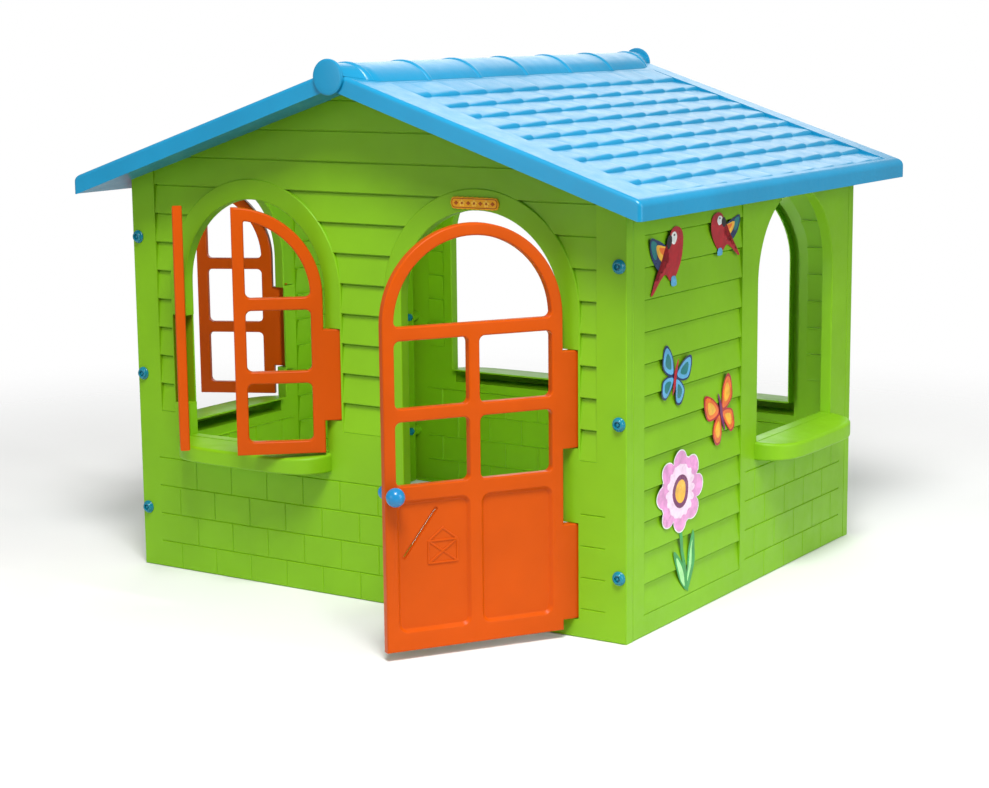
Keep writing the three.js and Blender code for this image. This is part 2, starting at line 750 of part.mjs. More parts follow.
const house = new THREE.Group();
const front = sideFrame(0, HOUSE_DEPTH / 2);
const right = sideFrame(90, HOUSE_WIDTH / 2);
const back = sideFrame(180, HOUSE_DEPTH / 2);
const left = sideFrame(-90, HOUSE_WIDTH / 2);

const gableSiding = {
  left: -FRONT_SIDING_HALF_WIDTH,
  right: FRONT_SIDING_HALF_WIDTH,
  bottom: FRONT_SIDING_BOTTOM,
  top: RIDGE_HEIGHT,
};
const sideSiding = { left: -485, right: -40, bottom: SIDE_SIDING_BOTTOM, top: 920 };

const doorOpening = {
  centre: OPENING_OFFSET,
  bottom: DOOR_BOTTOM,
  notches: [{ side: 1, knuckle: UPPER_KNUCKLE }, { side: 1, knuckle: LOWER_KNUCKLE }],
};

front.add(namedMesh('front_wall', wallPanel({
  outline: gableOutline,
  openings: [windowOpening(-OPENING_OFFSET, true), doorOpening],
  siding: gableSiding,
  gable: true,
  trim: true,
  bolts: 'face',
}), 'green'));

back.add(namedMesh('back_wall', wallPanel({
  outline: gableOutline,
  openings: [windowOpening(-OPENING_OFFSET, false), windowOpening(OPENING_OFFSET, false)],
  siding: gableSiding,
  gable: true,
  trim: true,
  bolts: 'face',
}), 'green'));

for (const [name, frame, shuttered] of [['right_wall', right, false], ['left_wall', left, true]]) {
  frame.add(namedMesh(name, wallPanel({
    outline: squareOutline,
    openings: [windowOpening(SIDE_WINDOW_OFFSET, shuttered)],
    siding: sideSiding,
    gable: false,
    trim: false,
    bolts: 'ends',
  }), 'green'));
}

fitBolts(front, 'front');
fitBolts(back, 'back');

const knobPlace = [KNOB_INSET - LEAF_RADIUS - PIVOT_OFFSET, KNOB_HEIGHT, 0];
const outerKnob = namedMesh('door_knob_outer', knobOuter(), 'knob');
const innerKnob = namedMesh('door_knob_inner', knobInner(), 'knob');
outerKnob.position.set(...knobPlace);
innerKnob.position.set(...knobPlace);
const doorLeaf = namedMesh('door_leaf', doorBody(), 'orange');
hangLeaf(front, OPENING_OFFSET, 1, DOOR_OPEN, [doorLeaf, outerKnob, innerKnob]);

const shutters = [
  ['front_shutter_left', front, -OPENING_OFFSET, -1, FRONT_SHUTTER_OPEN.left],
  ['front_shutter_right', front, -OPENING_OFFSET, 1, FRONT_SHUTTER_OPEN.right],
  ['side_shutter_rear', left, SIDE_WINDOW_OFFSET, -1, SIDE_SHUTTER_OPEN.rear],
  ['side_shutter_front', left, SIDE_WINDOW_OFFSET, 1, SIDE_SHUTTER_OPEN.front],
];
for (const [name, frame, middle, side, open] of shutters) {
  hangLeaf(frame, middle, side, open, [namedMesh(name, shutterBody(side), 'orange')]);
}

const rightRoof = roofPanel();
house.add(namedMesh('roof_panel_right', rightRoof, 'blue'));
house.add(namedMesh('roof_panel_left', rightRoof.rotate([0, 0, 180]), 'blue'));
house.add(namedMesh('ridge_cap', ridgeCap(), 'blue'));

const plaque = plate(roundedRectangle(-62, 62, -13.5, 13.5, 8), GAP, 6.3, CORNER_STEPS);
const sign = namedMesh('door_sign', plaque, 'gold');
sign.position.set(OPENING_OFFSET - 5, 900, 0);
front.add(sign);

const stickers = [
  ['sticker_bird_large', birdSticker(165, 1), 'stickerRed', -376, 782],
  ['sticker_bird_small', birdSticker(115, -1), 'stickerRed', -140, 812],
  ['sticker_butterfly_blue', butterflySticker(142, 124), 'stickerBlue', -352, 532],
  ['sticker_butterfly_orange', butterflySticker(145, 144), 'stickerOrange', -138, 423],
  ['sticker_flower', flowerSticker(210, 182), 'stickerPink', -325, 281],
];
for (const [name, body, colour, x, y] of stickers) {
  const sticker = namedMesh(name, body, colour);
  sticker.position.set(x, y, 0);
  right.add(sticker);
}

// The origin is under the middle of the whole object, on the ground
house.updateMatrixWorld(true);
const centre = new THREE.Box3().setFromObject(house, true).getCenter(new THREE.Vector3());
house.position.set(-centre.x, -centre.y, 0);
house.updateMatrixWorld(true);

export default house;
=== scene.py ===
import math

import bmesh
import bpy
from mathutils import Matrix, Vector
from mathutils.geometry import tessellate_polygon


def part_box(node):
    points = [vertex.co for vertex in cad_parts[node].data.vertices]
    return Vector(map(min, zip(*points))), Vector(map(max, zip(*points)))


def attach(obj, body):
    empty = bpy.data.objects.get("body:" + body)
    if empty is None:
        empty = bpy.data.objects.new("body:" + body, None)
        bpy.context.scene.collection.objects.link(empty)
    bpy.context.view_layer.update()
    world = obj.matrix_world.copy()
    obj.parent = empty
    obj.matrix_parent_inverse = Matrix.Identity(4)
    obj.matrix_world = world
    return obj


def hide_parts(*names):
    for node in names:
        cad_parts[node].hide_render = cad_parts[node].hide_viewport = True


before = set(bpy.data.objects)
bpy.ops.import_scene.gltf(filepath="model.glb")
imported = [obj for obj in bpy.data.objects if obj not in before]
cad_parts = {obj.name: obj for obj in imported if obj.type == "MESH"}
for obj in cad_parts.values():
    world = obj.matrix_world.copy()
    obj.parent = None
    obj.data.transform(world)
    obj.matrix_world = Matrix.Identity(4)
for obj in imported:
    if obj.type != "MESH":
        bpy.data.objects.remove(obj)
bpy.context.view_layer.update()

# Where the house stands in the row frame
FRONT_LOW, FRONT_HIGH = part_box("front_wall")
BACK_LOW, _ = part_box("back_wall")
HOUSE_X = (FRONT_LOW.x + FRONT_HIGH.x) / 2
HOUSE_Y = (FRONT_HIGH.y + BACK_LOW.y) / 2
MM = 0.001

# Dimensions of the house, in millimetres
HOUSE_WIDTH = 1324
HOUSE_DEPTH = 1120
SKIN = 4
FLANGE = 28
GAP = 0.3
WALL_DROP = 11.5
TOTAL_HEIGHT = 1200
RIDGE_HEIGHT = 1175
ROOF_SLOPE = 0.3285
ROOF_HALF_SPAN = 750
ROOF_HALF_LENGTH = 659
FASCIA = 40
OPENING_RADIUS = 201
SPRING = 684
OPENING_OFFSET = 305
SIDE_OFFSET = 242
WINDOW_BOTTOM = 327
DOOR_BOTTOM = 12
TRIM_RADIUS = 247
BOARD_PITCH = 66.6
BOARD_STEP = 7
BOARD_TOP_LINE = 1043.8
FRONT_SIDING_BOTTOM = BOARD_TOP_LINE - 10 * BOARD_PITCH
SIDE_SIDING_BOTTOM = BOARD_TOP_LINE - 15 * BOARD_PITCH
SIDE_HEIGHT = 950
LEAF_RADIUS = 197.5
LEAF_SPRING = 683
HALF_LEAF = 11
PIVOT = 231
STUB_RADIUS, STUB_HOLE, STUB_LENGTH = 4, 4.4, 8
NOTCH_CLEARANCE, NOTCH_REACH, POCKET_REACH = 1.2, 204, 243
PANE_ROWS = [(360, 490), (517, 653)]
TOP_PANE_BOTTOM = 681
PANE_CORNER = 12
KNUCKLE_HIGH = (404, 608)
KNUCKLE_LOW = (40, 244)
BOLT_INSET = 17
BOLT_HOLE, BOSS_RADIUS = 5.4, 13.5
BOLT_HEIGHTS = (786, 463, 140)
BRICK_LINES = (62.5, 130, 197.5, 265)
BRICK_WIDTH = 105
BRICK_GROOVE = (2.0, 5)
INNER_RIDGE = (3.0, 6)
LEDGE_BOTTOM, LEDGE_HALF, LEDGE_DEPTH = 284, 212, 82
LEDGE_SQUARENESS = 5
KNOB_PLACE = (13 - LEAF_RADIUS, 345, 0)
SHAFT_RADIUS, SHAFT_HOLE, SHAFT_LENGTH = 6, 6.4, 14


# ---------- flat outlines, anticlockwise ----------

def arc(x, y, radius, start, end, steps):
    """Points on a circle from start to end, in degrees."""
    turns = [math.radians(start + (end - start) * i / steps) for i in range(steps + 1)]
    return [(x + radius * math.cos(t), y + radius * math.sin(t)) for t in turns]


def rectangle(left, right, bottom, top):
    return [(left, bottom), (right, bottom), (right, top), (left, top)]


def rounded_rectangle(left, right, bottom, top, radius, steps=6):
    low, high, near, far = bottom + radius, top - radius, left + radius, right - radius
    return (arc(far, low, radius, -90, 0, steps) + arc(far, high, radius, 0, 90, steps)
            + arc(near, high, radius, 90, 180, steps) + arc(near, low, radius, 180, 270, steps))


def arch(centre, half, bottom, spring, steps=40):
    return [(centre - half, bottom), (centre + half, bottom)] + arc(centre, spring, half, 0, 180, steps)


def mirrored(loop):
    return [(-x, y) for x, y in reversed(loop)]


def anticlockwise(loop):
    area = sum(a[0] * b[1] - b[0] * a[1] for a, b in zip(loop, loop[1:] + loop[:1]))
    return loop if area > 0 else loop[::-1]


def unit_normal(a, b):
    dx, dy = b[0] - a[0], b[1] - a[1]
    length = math.hypot(dx, dy)
    return dy / length, -dx / length


def offset(loop, distance):
    """The loop moved outwards by a distance, or inwards if it is negative."""
    moved = []
    for i, (x, y) in enumerate(loop):
        n0 = unit_normal(loop[i - 1], (x, y))
        n1 = unit_normal((x, y), loop[(i + 1) % len(loop)])
        reach = distance / (1 + n0[0] * n1[0] + n0[1] * n1[1])
        moved.append((x + (n0[0] + n1[0]) * reach, y + (n0[1] + n1[1]) * reach))
    return moved


# ---------- solids: a body is a list of corners and a list of faces ----------

def edge_rings(low, high, low_radius, high_radius, steps=3):
    """Rings of [inset, height] of a plate with rounded edges."""
    rings = []
    for radius, height, way in ((low_radius, low, 1), (high_radius, high, -1)):
        angles = [90 * i / steps for i in range(steps + 1)] if radius else [90]
        turns = [math.radians(angle) for angle in angles]
        side = [(radius * (1 - math.sin(t)), height + way * radius * (1 - math.cos(t))) for t in turns]
        rings += side if way > 0 else side[::-1]
    return rings


def flare_rings(low, high, radius, over=4):
    """Rings of a cutter that leaves a rounded edge where it comes out of a plate."""
    rings = [(-inset, height) for inset, height in edge_rings(low, high, radius, radius)]
    return [(rings[0][0], low - over), *rings, (rings[-1][0], high + over)]


def lofted(outer, rings, holes=()):
    """A solid through rings of [inset, height]; the outline shrinks and its holes grow by each inset."""
    loops = [(outer, -1)] + [(hole, 1) for hole in holes]
    corners, faces = [], []
    count = sum(len(loop) for loop, _ in loops)
    for inset, height in rings:
        for loop, sign in loops:
            corners += [(x, y, height) for x, y in offset(loop, sign * inset)]
    start = 0
    for loop, sign in loops:
        for level in range(len(rings) - 1):
            for i in range(len(loop)):
                a = level * count + start + i
                b = level * count + start + (i + 1) % len(loop)
                quad = (a, b, b + count, a + count)
                faces.append(quad if sign < 0 else quad[::-1])
        start += len(loop)
    for level, up in ((0, False), (len(rings) - 1, True)):
        first = level * count
        flat, at = [], first
        for loop, _ in loops:
            flat.append([Vector((*corners[at + i][:2], 0)) for i in range(len(loop))])
            at += len(loop)
        for a, b, c in tessellate_polygon(flat):
            (ax, ay, _), (bx, by, _), (cx, cy, _) = (corners[first + i] for i in (a, b, c))
            area = (bx - ax) * (cy - ay) - (cx - ax) * (by - ay)
            if abs(area) > 1e-9:
                ordered = (a, b, c) if (area > 0) == up else (a, c, b)
                faces.append(tuple(first + i for i in ordered))
    return corners, faces


def plate(loop, low, high):
    return lofted(loop, [(0, low), (0, high)])


def block(left, right, bottom, top, low, high):
    return plate(rectangle(left, right, bottom, top), low, high)


def reshaped(body, change):
    corners, faces = body
    return [change(*corner) for corner in corners], faces


def along_x(body):
    """Turns a solid drawn as [y, z, x] upright."""
    return reshaped(body, lambda a, b, c: (c, a, b))


def along_y(body):
    """Turns a solid drawn as [z, x, y] upright."""
    return reshaped(body, lambda a, b, c: (b, c, a))


def moved(body, matrix):
    return reshaped(body, lambda *corner: tuple(matrix @ Vector(corner)))


def merged(bodies):
    corners, faces = [], []
    for more_corners, more_faces in bodies:
        faces += [tuple(i + len(corners) for i in face) for face in more_faces]
        corners += more_corners
    return corners, faces


def swept(outlines):
    """A solid through a row of 3-D outlines with the same number of corners."""
    count = len(outlines[0])
    corners = [tuple(corner) for outline in outlines for corner in outline]
    faces = []
    for s in range(len(outlines) - 1):
        for i in range(count):
            a, b = s * count + i, s * count + (i + 1) % count
            faces.append((a, b, b + count, a + count))
    last = (len(outlines) - 1) * count
    faces.append(tuple(range(count - 1, -1, -1)))
    faces.append(tuple(range(last, last + count)))
    return outward(corners, faces)


def outward(corners, faces):
    volume = 0.0
    for face in faces:
        a = Vector(corners[face[0]])
        for i in range(1, len(face) - 1):
            volume += a.dot(Vector(corners[face[i]]).cross(Vector(corners[face[i + 1]])))
    return (corners, faces) if volume > 0 else (corners, [face[::-1] for face in faces])


def turned(profile, steps=40):
    """A profile of [radius, height] turned about Z, from the axis back to it or closed on itself."""
    corners, rings = [], []
    for radius, height in profile:
        if radius < 1e-6:
            rings.append([len(corners)])
            corners.append((0.0, 0.0, height))
        else:
            rings.append(list(range(len(corners), len(corners) + steps)))
            corners += [(*arc(0, 0, radius, 0, 360, steps)[i], height) for i in range(steps)]
    faces = []
    pairs = list(zip(rings, rings[1:]))
    if len(rings[0]) > 1:
        pairs.append((rings[-1], rings[0]))
    for low, high in pairs:
        for i in range(steps):
            j = (i + 1) % steps
            square = [ring[k % len(ring)] for ring, k in ((low, i), (low, j), (high, j), (high, i))]
            face = tuple(dict.fromkeys(square))
            if len(face) > 2:
                faces.append(face)
    return outward(corners, faces)


def bar(axis, centre, radius, low, high, steps=20):
    body = turned([(0, low), (radius, low), (radius, high), (0, high)], steps)
    x, y, z = centre
    if axis == "x":
        return reshaped(body, lambda a, b, c: (c, y + a, z + b))
    if axis == "y":
        return reshaped(body, lambda a, b, c: (x + b, c, z + a))
    return reshaped(body, lambda a, b, c: (x + a, y + b, c))


def mesh_object(name, body):
    mesh = bpy.data.meshes.new(name)
    mesh.from_pydata(body[0], [], body[1])
    mesh.update()
    made = bpy.data.objects.new(name, mesh)
    bpy.context.scene.collection.objects.link(made)
    return made


def boolean(start, steps):
    """Joins, cuts or crosses the start body with each body in turn."""
    base = mesh_object("work", start)
    tools = []
    for operation, body in steps:
        tool = mesh_object("tool", body)
        change = base.modifiers.new("change", "BOOLEAN")
        change.operation, change.solver, change.object = operation, "MANIFOLD", tool
        tools.append(tool)
    bpy.context.view_layer.update()
    result = base.evaluated_get(bpy.context.evaluated_depsgraph_get()).to_mesh()
    body = [tuple(v.co) for v in result.vertices], [tuple(p.vertices) for p in result.polygons]
    for used in [base, *tools]:
        data = used.data
        bpy.data.objects.remove(used)
        bpy.data.meshes.remove(data)
    return body


def join(bodies):
    return boolean(bodies[0], [("UNION", body) for body in bodies[1:]])


def cut(body, cutters):
    return boolean(body, [("DIFFERENCE", cutter) for cutter in cutters])


# ---------- materials ----------

def linear(red, green, blue):
    channels = [c / 255 for c in (red, green, blue)]
    return (*[c / 12.92 if c <= 0.04045 else ((c + 0.055) / 1.055) ** 2.4 for c in channels], 1.0)


def set_sockets(made, values):
    for name, value in values.items():
        made.inputs[name].default_value = value


def node(tree, kind, sockets=None, **settings):
    made = tree.nodes.new(kind)
    for name, value in settings.items():
        setattr(made, name, value)
    set_sockets(made, sockets or {})
    return made


def noise(tree, scale, detail=2.0, roughness=0.5):
    return node(tree, "ShaderNodeTexNoise", {"Scale": scale, "Detail": detail, "Roughness": roughness})


def map_range(tree, start, end, **settings):
    values = dict(zip(("From Min", "From Max", "To Min", "To Max"), (*start, *end)))
    return node(tree, "ShaderNodeMapRange", values, **settings)


def plastic(name, colour, roughness=0.38, grain=0.12, tint=(0.90, 1.06), coat=0.0, patch=4.0,
            sheen=0.28):
    """Moulded plastic: faint cloudy colour, uneven gloss, flow marks and a fine pebbled grain."""
    material = bpy.data.materials.new(name)
    material.use_nodes = True
    tree = material.node_tree
    shader = tree.nodes["Principled BSDF"]
    set_sockets(shader, {"IOR": 1.48, "Specular IOR Level": sheen, "Coat Weight": coat,
                         "Coat Roughness": 0.25})
    place = node(tree, "ShaderNodeTexCoord").outputs["Object"]
    cloud, speck = noise(tree, patch, 4.0, 0.55), noise(tree, 900.0, 2.0, 0.6)
    gloss = noise(tree, 23.0, 3.0, 0.6)
    for texture in (cloud, speck, gloss):
        tree.links.new(place, texture.inputs["Vector"])
    ramp = node(tree, "ShaderNodeValToRGB")
    base = linear(*colour)
    for stop, (position, shade) in zip(ramp.color_ramp.elements, ((0.3, tint[0]), (0.7, tint[1]))):
        stop.position = position
        stop.color = (*[min(c * shade, 1) for c in base[:3]], 1)
    tree.links.new(cloud.outputs["Fac"], ramp.inputs["Fac"])
    tree.links.new(ramp.outputs["Color"], shader.inputs["Base Color"])
    rough = map_range(tree, (0.3, 0.7), (roughness - 0.06, roughness + 0.08))
    tree.links.new(gloss.outputs["Fac"], rough.inputs["Value"])
    tree.links.new(rough.outputs["Result"], shader.inputs["Roughness"])
    bump = node(tree, "ShaderNodeBump", {"Strength": grain, "Distance": 0.0006})
    wave = node(tree, "ShaderNodeBump", {"Strength": 0.08, "Distance": 0.004})
    tree.links.new(gloss.outputs["Fac"], wave.inputs["Height"])
    tree.links.new(speck.outputs["Fac"], bump.inputs["Height"])
    tree.links.new(wave.outputs["Normal"], bump.inputs["Normal"])
    tree.links.new(bump.outputs["Normal"], shader.inputs["Normal"])
    return material


GREEN = plastic("green_moulded", (122, 178, 16), 0.42)
BLUE = plastic("blue_moulded", (8, 136, 180), 0.38, coat=0.45)
ORANGE = plastic("orange_moulded", (194, 76, 2), 0.34, sheen=0.14)
TEAL = plastic("fastener_moulded", (8, 122, 146), 0.2, grain=0.05, sheen=0.5)
KNOB = plastic("knob_moulded", (22, 128, 184), 0.24, grain=0.05, sheen=0.5)
AMBER = plastic("plaque_moulded", (236, 168, 20), 0.36, patch=30.0)
GOLD = plastic("plaque_petals", (250, 200, 70), 0.34, patch=30.0)
BROWN = plastic("plaque_relief", (176, 84, 12), 0.4, patch=30.0)


PRINT_COLOURS = {
    "white": (235, 238, 235), "red": (176, 20, 34), "navy": (22, 48, 92), "teal": (20, 120, 120),
    "yellow": (240, 180, 50), "orange": (232, 110, 30), "sky": (90, 170, 215), "pink": (224, 150, 205),
    "blush": (248, 216, 240), "plum": (112, 28, 92), "leaf": (24, 150, 62), "mint": (160, 232, 150),
    "black": (28, 24, 30),
}
INK = {name: plastic("ink_" + name, colour, 0.3, grain=0.05, tint=(0.72, 1.12), coat=0.4, patch=45.0)
       for name, colour in PRINT_COLOURS.items()}


# ---------- placing ----------

def side_matrix(turn, distance):
    """From a side drawn as seen from outside (x right, y up, z out) to the row frame."""
    return (Matrix.Translation((HOUSE_X, HOUSE_Y, 0)) @ Matrix.Rotation(math.radians(turn), 4, "Z")
            @ Matrix.Translation((0, -distance * MM, 0)) @ Matrix.Rotation(math.pi / 2, 4, "X")
            @ Matrix.Scale(MM, 4))


FRONT = side_matrix(0, HOUSE_DEPTH / 2)
RIGHT = side_matrix(90, HOUSE_WIDTH / 2)
BACK = side_matrix(180, HOUSE_DEPTH / 2)
LEFT = side_matrix(-90, HOUSE_WIDTH / 2)
HOUSE = Matrix.Translation((HOUSE_X, HOUSE_Y, 0)) @ Matrix.Scale(MM, 4)


def add_piece(name, parts, matrix, body_name, nodes, sharp=34):
    """One piece from [body, material] parts, which rides on a CAD body and stands for CAD nodes."""
    materials, indices = [], []
    for body, material in parts:
        if material not in materials:
            materials.append(material)
        indices += [materials.index(material)] * len(body[1])
    piece = mesh_object(name, merged([body for body, _ in parts]))
    mesh = piece.data
    for material in materials:
        mesh.materials.append(material)
    mesh.polygons.foreach_set("material_index", indices)
    mesh.transform(matrix)
    mesh.shade_smooth()
    mesh.set_sharp_from_angle(angle=math.radians(sharp))
    weigh = piece.modifiers.new("even_shading", "WEIGHTED_NORMAL")
    weigh.keep_sharp = True
    weigh.weight = 50
    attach(piece, body_name)
    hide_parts(*nodes)


# ---------- walls ----------

def roof_top(x):
    return RIDGE_HEIGHT - ROOF_SLOPE * abs(x)


def gable_outline(inset, half=None):
    half = half or HOUSE_WIDTH / 2 - inset
    drop = WALL_DROP + inset * math.hypot(1, ROOF_SLOPE)
    return [(-half, inset), (half, inset), (half, roof_top(half) - drop), (0, roof_top(0) - drop),
            (-half, roof_top(half) - drop)]


def square_outline(inset):
    half = HOUSE_DEPTH / 2 - FLANGE - GAP - inset
    return rectangle(-half, half, inset, SIDE_HEIGHT - inset)


def above_boards(bottom, top, depth):
    """Everything in front of the lapped boards, whose faces lie depth below the wall's face."""
    points, low, rounding = [], bottom, 1.5
    face, foot = -1 - depth, -BOARD_STEP - depth
    while low < top:
        high = low + BOARD_PITCH
        nose = 0.3 * rounding
        points += [(low, face - rounding), (low + nose, face - nose), (low + rounding, face)]
        points += [(high - 4, foot - 0.6), (high - 3, foot - 2.6), (high, foot - 3)]
        low = high
    return along_x(plate(points + [(low, 2), (bottom, 2)], -HOUSE_WIDTH, HOUSE_WIDTH))


def siding_field(siding, inset):
    left, right, bottom, top = siding
    if top < RIDGE_HEIGHT:
        return block(left - inset, right + inset, bottom, top, -FLANGE, 3)
    loop = gable_outline(26 - inset, right + inset)
    return plate([(x, max(y, bottom)) for x, y in loop], -FLANGE, 3)


def ledge(centre, inset, rounding=0.0):
    half, depth = LEDGE_HALF - inset, LEDGE_DEPTH - inset
    steps = 40
    plan = [(-24, half), (-24, -half)]
    for i in range(steps + 1):
        across = -math.cos(math.pi * i / steps)
        reach = max(1 - abs(across) ** LEDGE_SQUARENESS, 0) ** 0.5
        plan.append((depth * reach, half * across))
    plan = [(z, centre + x) for z, x in plan]
    rings = edge_rings(LEDGE_BOTTOM + inset, WINDOW_BOTTOM - inset, rounding * 0.7, rounding, 4)
    body = along_y(lofted(plan, rings))
    middle, fall = (LEDGE_BOTTOM + WINDOW_BOTTOM) / 2, 6
    return reshaped(body, lambda x, y, z: (
        x, y - (fall * max(z, 0) / LEDGE_DEPTH if y > middle else 0), z))


def brick_grooves(zones, surface, depth, width):
    """Cutters for the joints of the moulded brickwork, level and upright ones apart."""
    level, upright = [], []
    start, end = surface + math.copysign(0.5, depth), surface - depth
    for left, right in zones:
        for line in BRICK_LINES:
            section = [(line - width / 2, start), (line, end), (line + width / 2, start)]
            level.append(along_x(plate(section, left, right)))
        edges = [0, *BRICK_LINES]
        for row, (low, high) in enumerate(zip(edges, edges[1:])):
            x = -HOUSE_WIDTH / 2 + BRICK_WIDTH * (0.62 if row % 2 else 0.12)
            while x < right - 8:
                if x > left + 8:
                    section = [(start, x - width / 2), (start, x + width / 2), (end, x)]
                    upright.append(along_y(plate(section, low + 1, high - 1)))
                x += BRICK_WIDTH
    return [merged([outward(*body) for body in bodies]) for bodies in (level, upright)]


def wall_body(outline, openings, siding, trim, bolts, bricks):
    def trims(inset, rounding=0.0):
        rings = [(inset, -FLANGE - 1)]
        if rounding:
            rings += [(inset + a, b) for a, b in edge_rings(-20, 0, 0, rounding)[1:]]
        rings.append((inset + rounding, 4))
        middles = [centre for centre, _, _ in openings] if trim else []
        return [lofted(arch(centre, TRIM_RADIUS, 0, SPRING), rings) for centre in middles]

    def opening(centre, bottom, inset, rounding=0.0):
        loop = arch(centre, OPENING_RADIUS + inset, bottom - inset, SPRING)
        if not rounding:
            return plate(loop, -FLANGE - 2, 3)
        flared = lofted(loop, flare_rings(-FLANGE, 0, rounding))
        return reshaped(flared, lambda x, y, z: (x, max(y, bottom), z))

    def notch(centre, side, knuckle, inset):
        low, high = knuckle[0] - NOTCH_CLEARANCE - inset, knuckle[1] + NOTCH_CLEARANCE + inset
        start = centre + side * (OPENING_RADIUS - 20)
        through = sorted((start, centre + side * (NOTCH_REACH + inset)))
        pocket = sorted((start, centre + side * (POCKET_REACH + inset)))
        deep = -2 * HALF_LEAF - 1.5 - inset
        opened = block(*through, low, high, -FLANGE - 2, 3)
        return boolean(opened, [("UNION", block(*pocket, low, high, deep, 3))])

    def pivot_hole(centre, side, knuckle):
        low, high = knuckle
        at = (centre + side * PIVOT, 0, -HALF_LEAF)
        return merged([bar("y", at, STUB_HOLE, low - STUB_LENGTH, low),
                       bar("y", at, STUB_HOLE, high, high + STUB_LENGTH)])

    windows = [c for c, bottom, _ in openings if bottom == WINDOW_BOTTOM]
    notches = [(c, side, k) for c, _, ks in openings for side, k in ks]
    left, right, bottom, top = siding
    relief = boolean(siding_field(siding, 0), [
        ("INTERSECT", above_boards(bottom, top, 0)),
        *[("DIFFERENCE", body) for body in trims(0, 3.0)],
    ])
    backing = boolean(siding_field(siding, SKIN), [
        ("INTERSECT", above_boards(bottom + 5, top, SKIN)),
        *[("DIFFERENCE", body) for body in trims(SKIN)],
    ])
    hollow = boolean(plate(outline(SKIN), -FLANGE - 1, -SKIN), [
        ("DIFFERENCE", backing),
        *[("DIFFERENCE", opening(c, low, SKIN)) for c, low, _ in openings],
        *[("DIFFERENCE", notch(*n, SKIN)) for n in notches],
        *[("UNION", ledge(c, SKIN)) for c in windows],
        *[("DIFFERENCE", ridge) for ridge in brick_grooves(bricks, -SKIN, *INNER_RIDGE)],
    ])
    steps = [
        ("DIFFERENCE", relief),
        *[("UNION", ledge(c, 0, 7)) for c in windows],
        ("DIFFERENCE", hollow),
        *[("DIFFERENCE", opening(c, low, 0, 3.0)) for c, low, _ in openings],
        *[("DIFFERENCE", notch(*n, 0)) for n in notches],
        *[("DIFFERENCE", groove) for groove in brick_grooves(bricks, 0, *BRICK_GROOVE)],
    ]
    half = HOUSE_WIDTH / 2 - BOLT_INSET
    places = [(side * half, height) for side in (-1, 1) for height in BOLT_HEIGHTS]
    if bolts == "face":
        for kind, radius, low, high in (("UNION", BOSS_RADIUS, -FLANGE, -2),
                                        ("DIFFERENCE", BOLT_HOLE, -FLANGE - 1, 1)):
            steps.append((kind, merged([bar("z", (x, y, 0), radius, low, high) for x, y in places])))
    else:
        end = HOUSE_DEPTH / 2 - FLANGE
        for span in ((-end - 1, -end + 2 * SKIN), (end - 2 * SKIN, end + 1)):
            holes = [bar("x", (0, y, -BOLT_INSET), BOLT_HOLE, *span) for y in BOLT_HEIGHTS]
            steps.append(("DIFFERENCE", merged(holes)))
    steps += [("DIFFERENCE", pivot_hole(*n)) for n in notches]
    return boolean(lofted(outline(0), edge_rings(-FLANGE, 0, 1.5, 3.0)), steps)


# ---------- leaves ----------

def top_pane(inner, outer, radius):
    """Pane under the arch, from the inner to the outer edge."""
    corner, low = PANE_CORNER, TOP_PANE_BOTTOM
    start = math.degrees(math.asin((low + corner - LEAF_SPRING) / radius))
    end = 180 - start if inner < 0 else math.degrees(math.acos(inner / radius))
    loop = arc(outer - corner, low + corner, corner, -90, -4, 5)
    loop += arc(0, LEAF_SPRING, radius, start, end, 40 if inner < 0 else 24)
    if inner >= 0:
        loop[-1] = (inner + 2, loop[-1][1] - 1)
        loop.append((inner, loop[-1][1] - 3))
    return loop + arc(inner + corner, low + corner, corner, 184, 270, 5)


def knuckle_body(side, low, high):
    """Hinge knuckle: a tab from the leaf's edge with a round outer side."""
    tab = [(HALF_LEAF, 187.5), (-HALF_LEAF, 187.5)] + arc(0, PIVOT, HALF_LEAF, 180, 0, 16)
    if side < 0:
        tab = [(z, -x) for z, x in reversed(tab)]
    return along_y(lofted(anticlockwise(tab), edge_rings(low, high, 3, 3)))


def leaf_body(side, outline, panes, knuckles):
    parts = [lofted(outline, edge_rings(-HALF_LEAF, HALF_LEAF, 3.6, 3.6), panes)]
    for low, high in knuckles:
        stub = bar("y", (side * PIVOT, 0, 0), STUB_RADIUS, low - STUB_LENGTH, high + STUB_LENGTH)
        parts += [knuckle_body(side, low, high), stub]
    return join(parts)


def shutter_body(side):
    inner, outer, bottom = 28.5, LEAF_RADIUS - 27, WINDOW_BOTTOM + 4
    panes = [rounded_rectangle(inner, outer, low, high, PANE_CORNER) for low, high in PANE_ROWS]
    panes.append(top_pane(inner, outer, outer))
    outline = [(1.5, bottom), (LEAF_RADIUS, bottom)] + arc(0, LEAF_SPRING, LEAF_RADIUS, 0, 89.56, 28)
    if side < 0:
        panes, outline = [mirrored(pane) for pane in panes], mirrored(outline)
    return leaf_body(side, outline, panes, [KNUCKLE_HIGH])


def stroke(start, end, width, low, high):
    """A low rounded rib from start to end."""
    length = math.dist(start, end)
    reach, half = (length + width) / 2, width / 2
    loop = rounded_rectangle(-reach, reach, -half, half, width * 0.48)
    body = lofted(loop, edge_rings(low, high, 0, min(width * 0.3, (high - low) * 0.8)))
    tilt = math.atan2(end[1] - start[1], end[0] - start[0])
    middle = ((start[0] + end[0]) / 2, (start[1] + end[1]) / 2, 0)
    return moved(body, Matrix.Translation(middle) @ Matrix.Rotation(tilt, 4, "Z"))


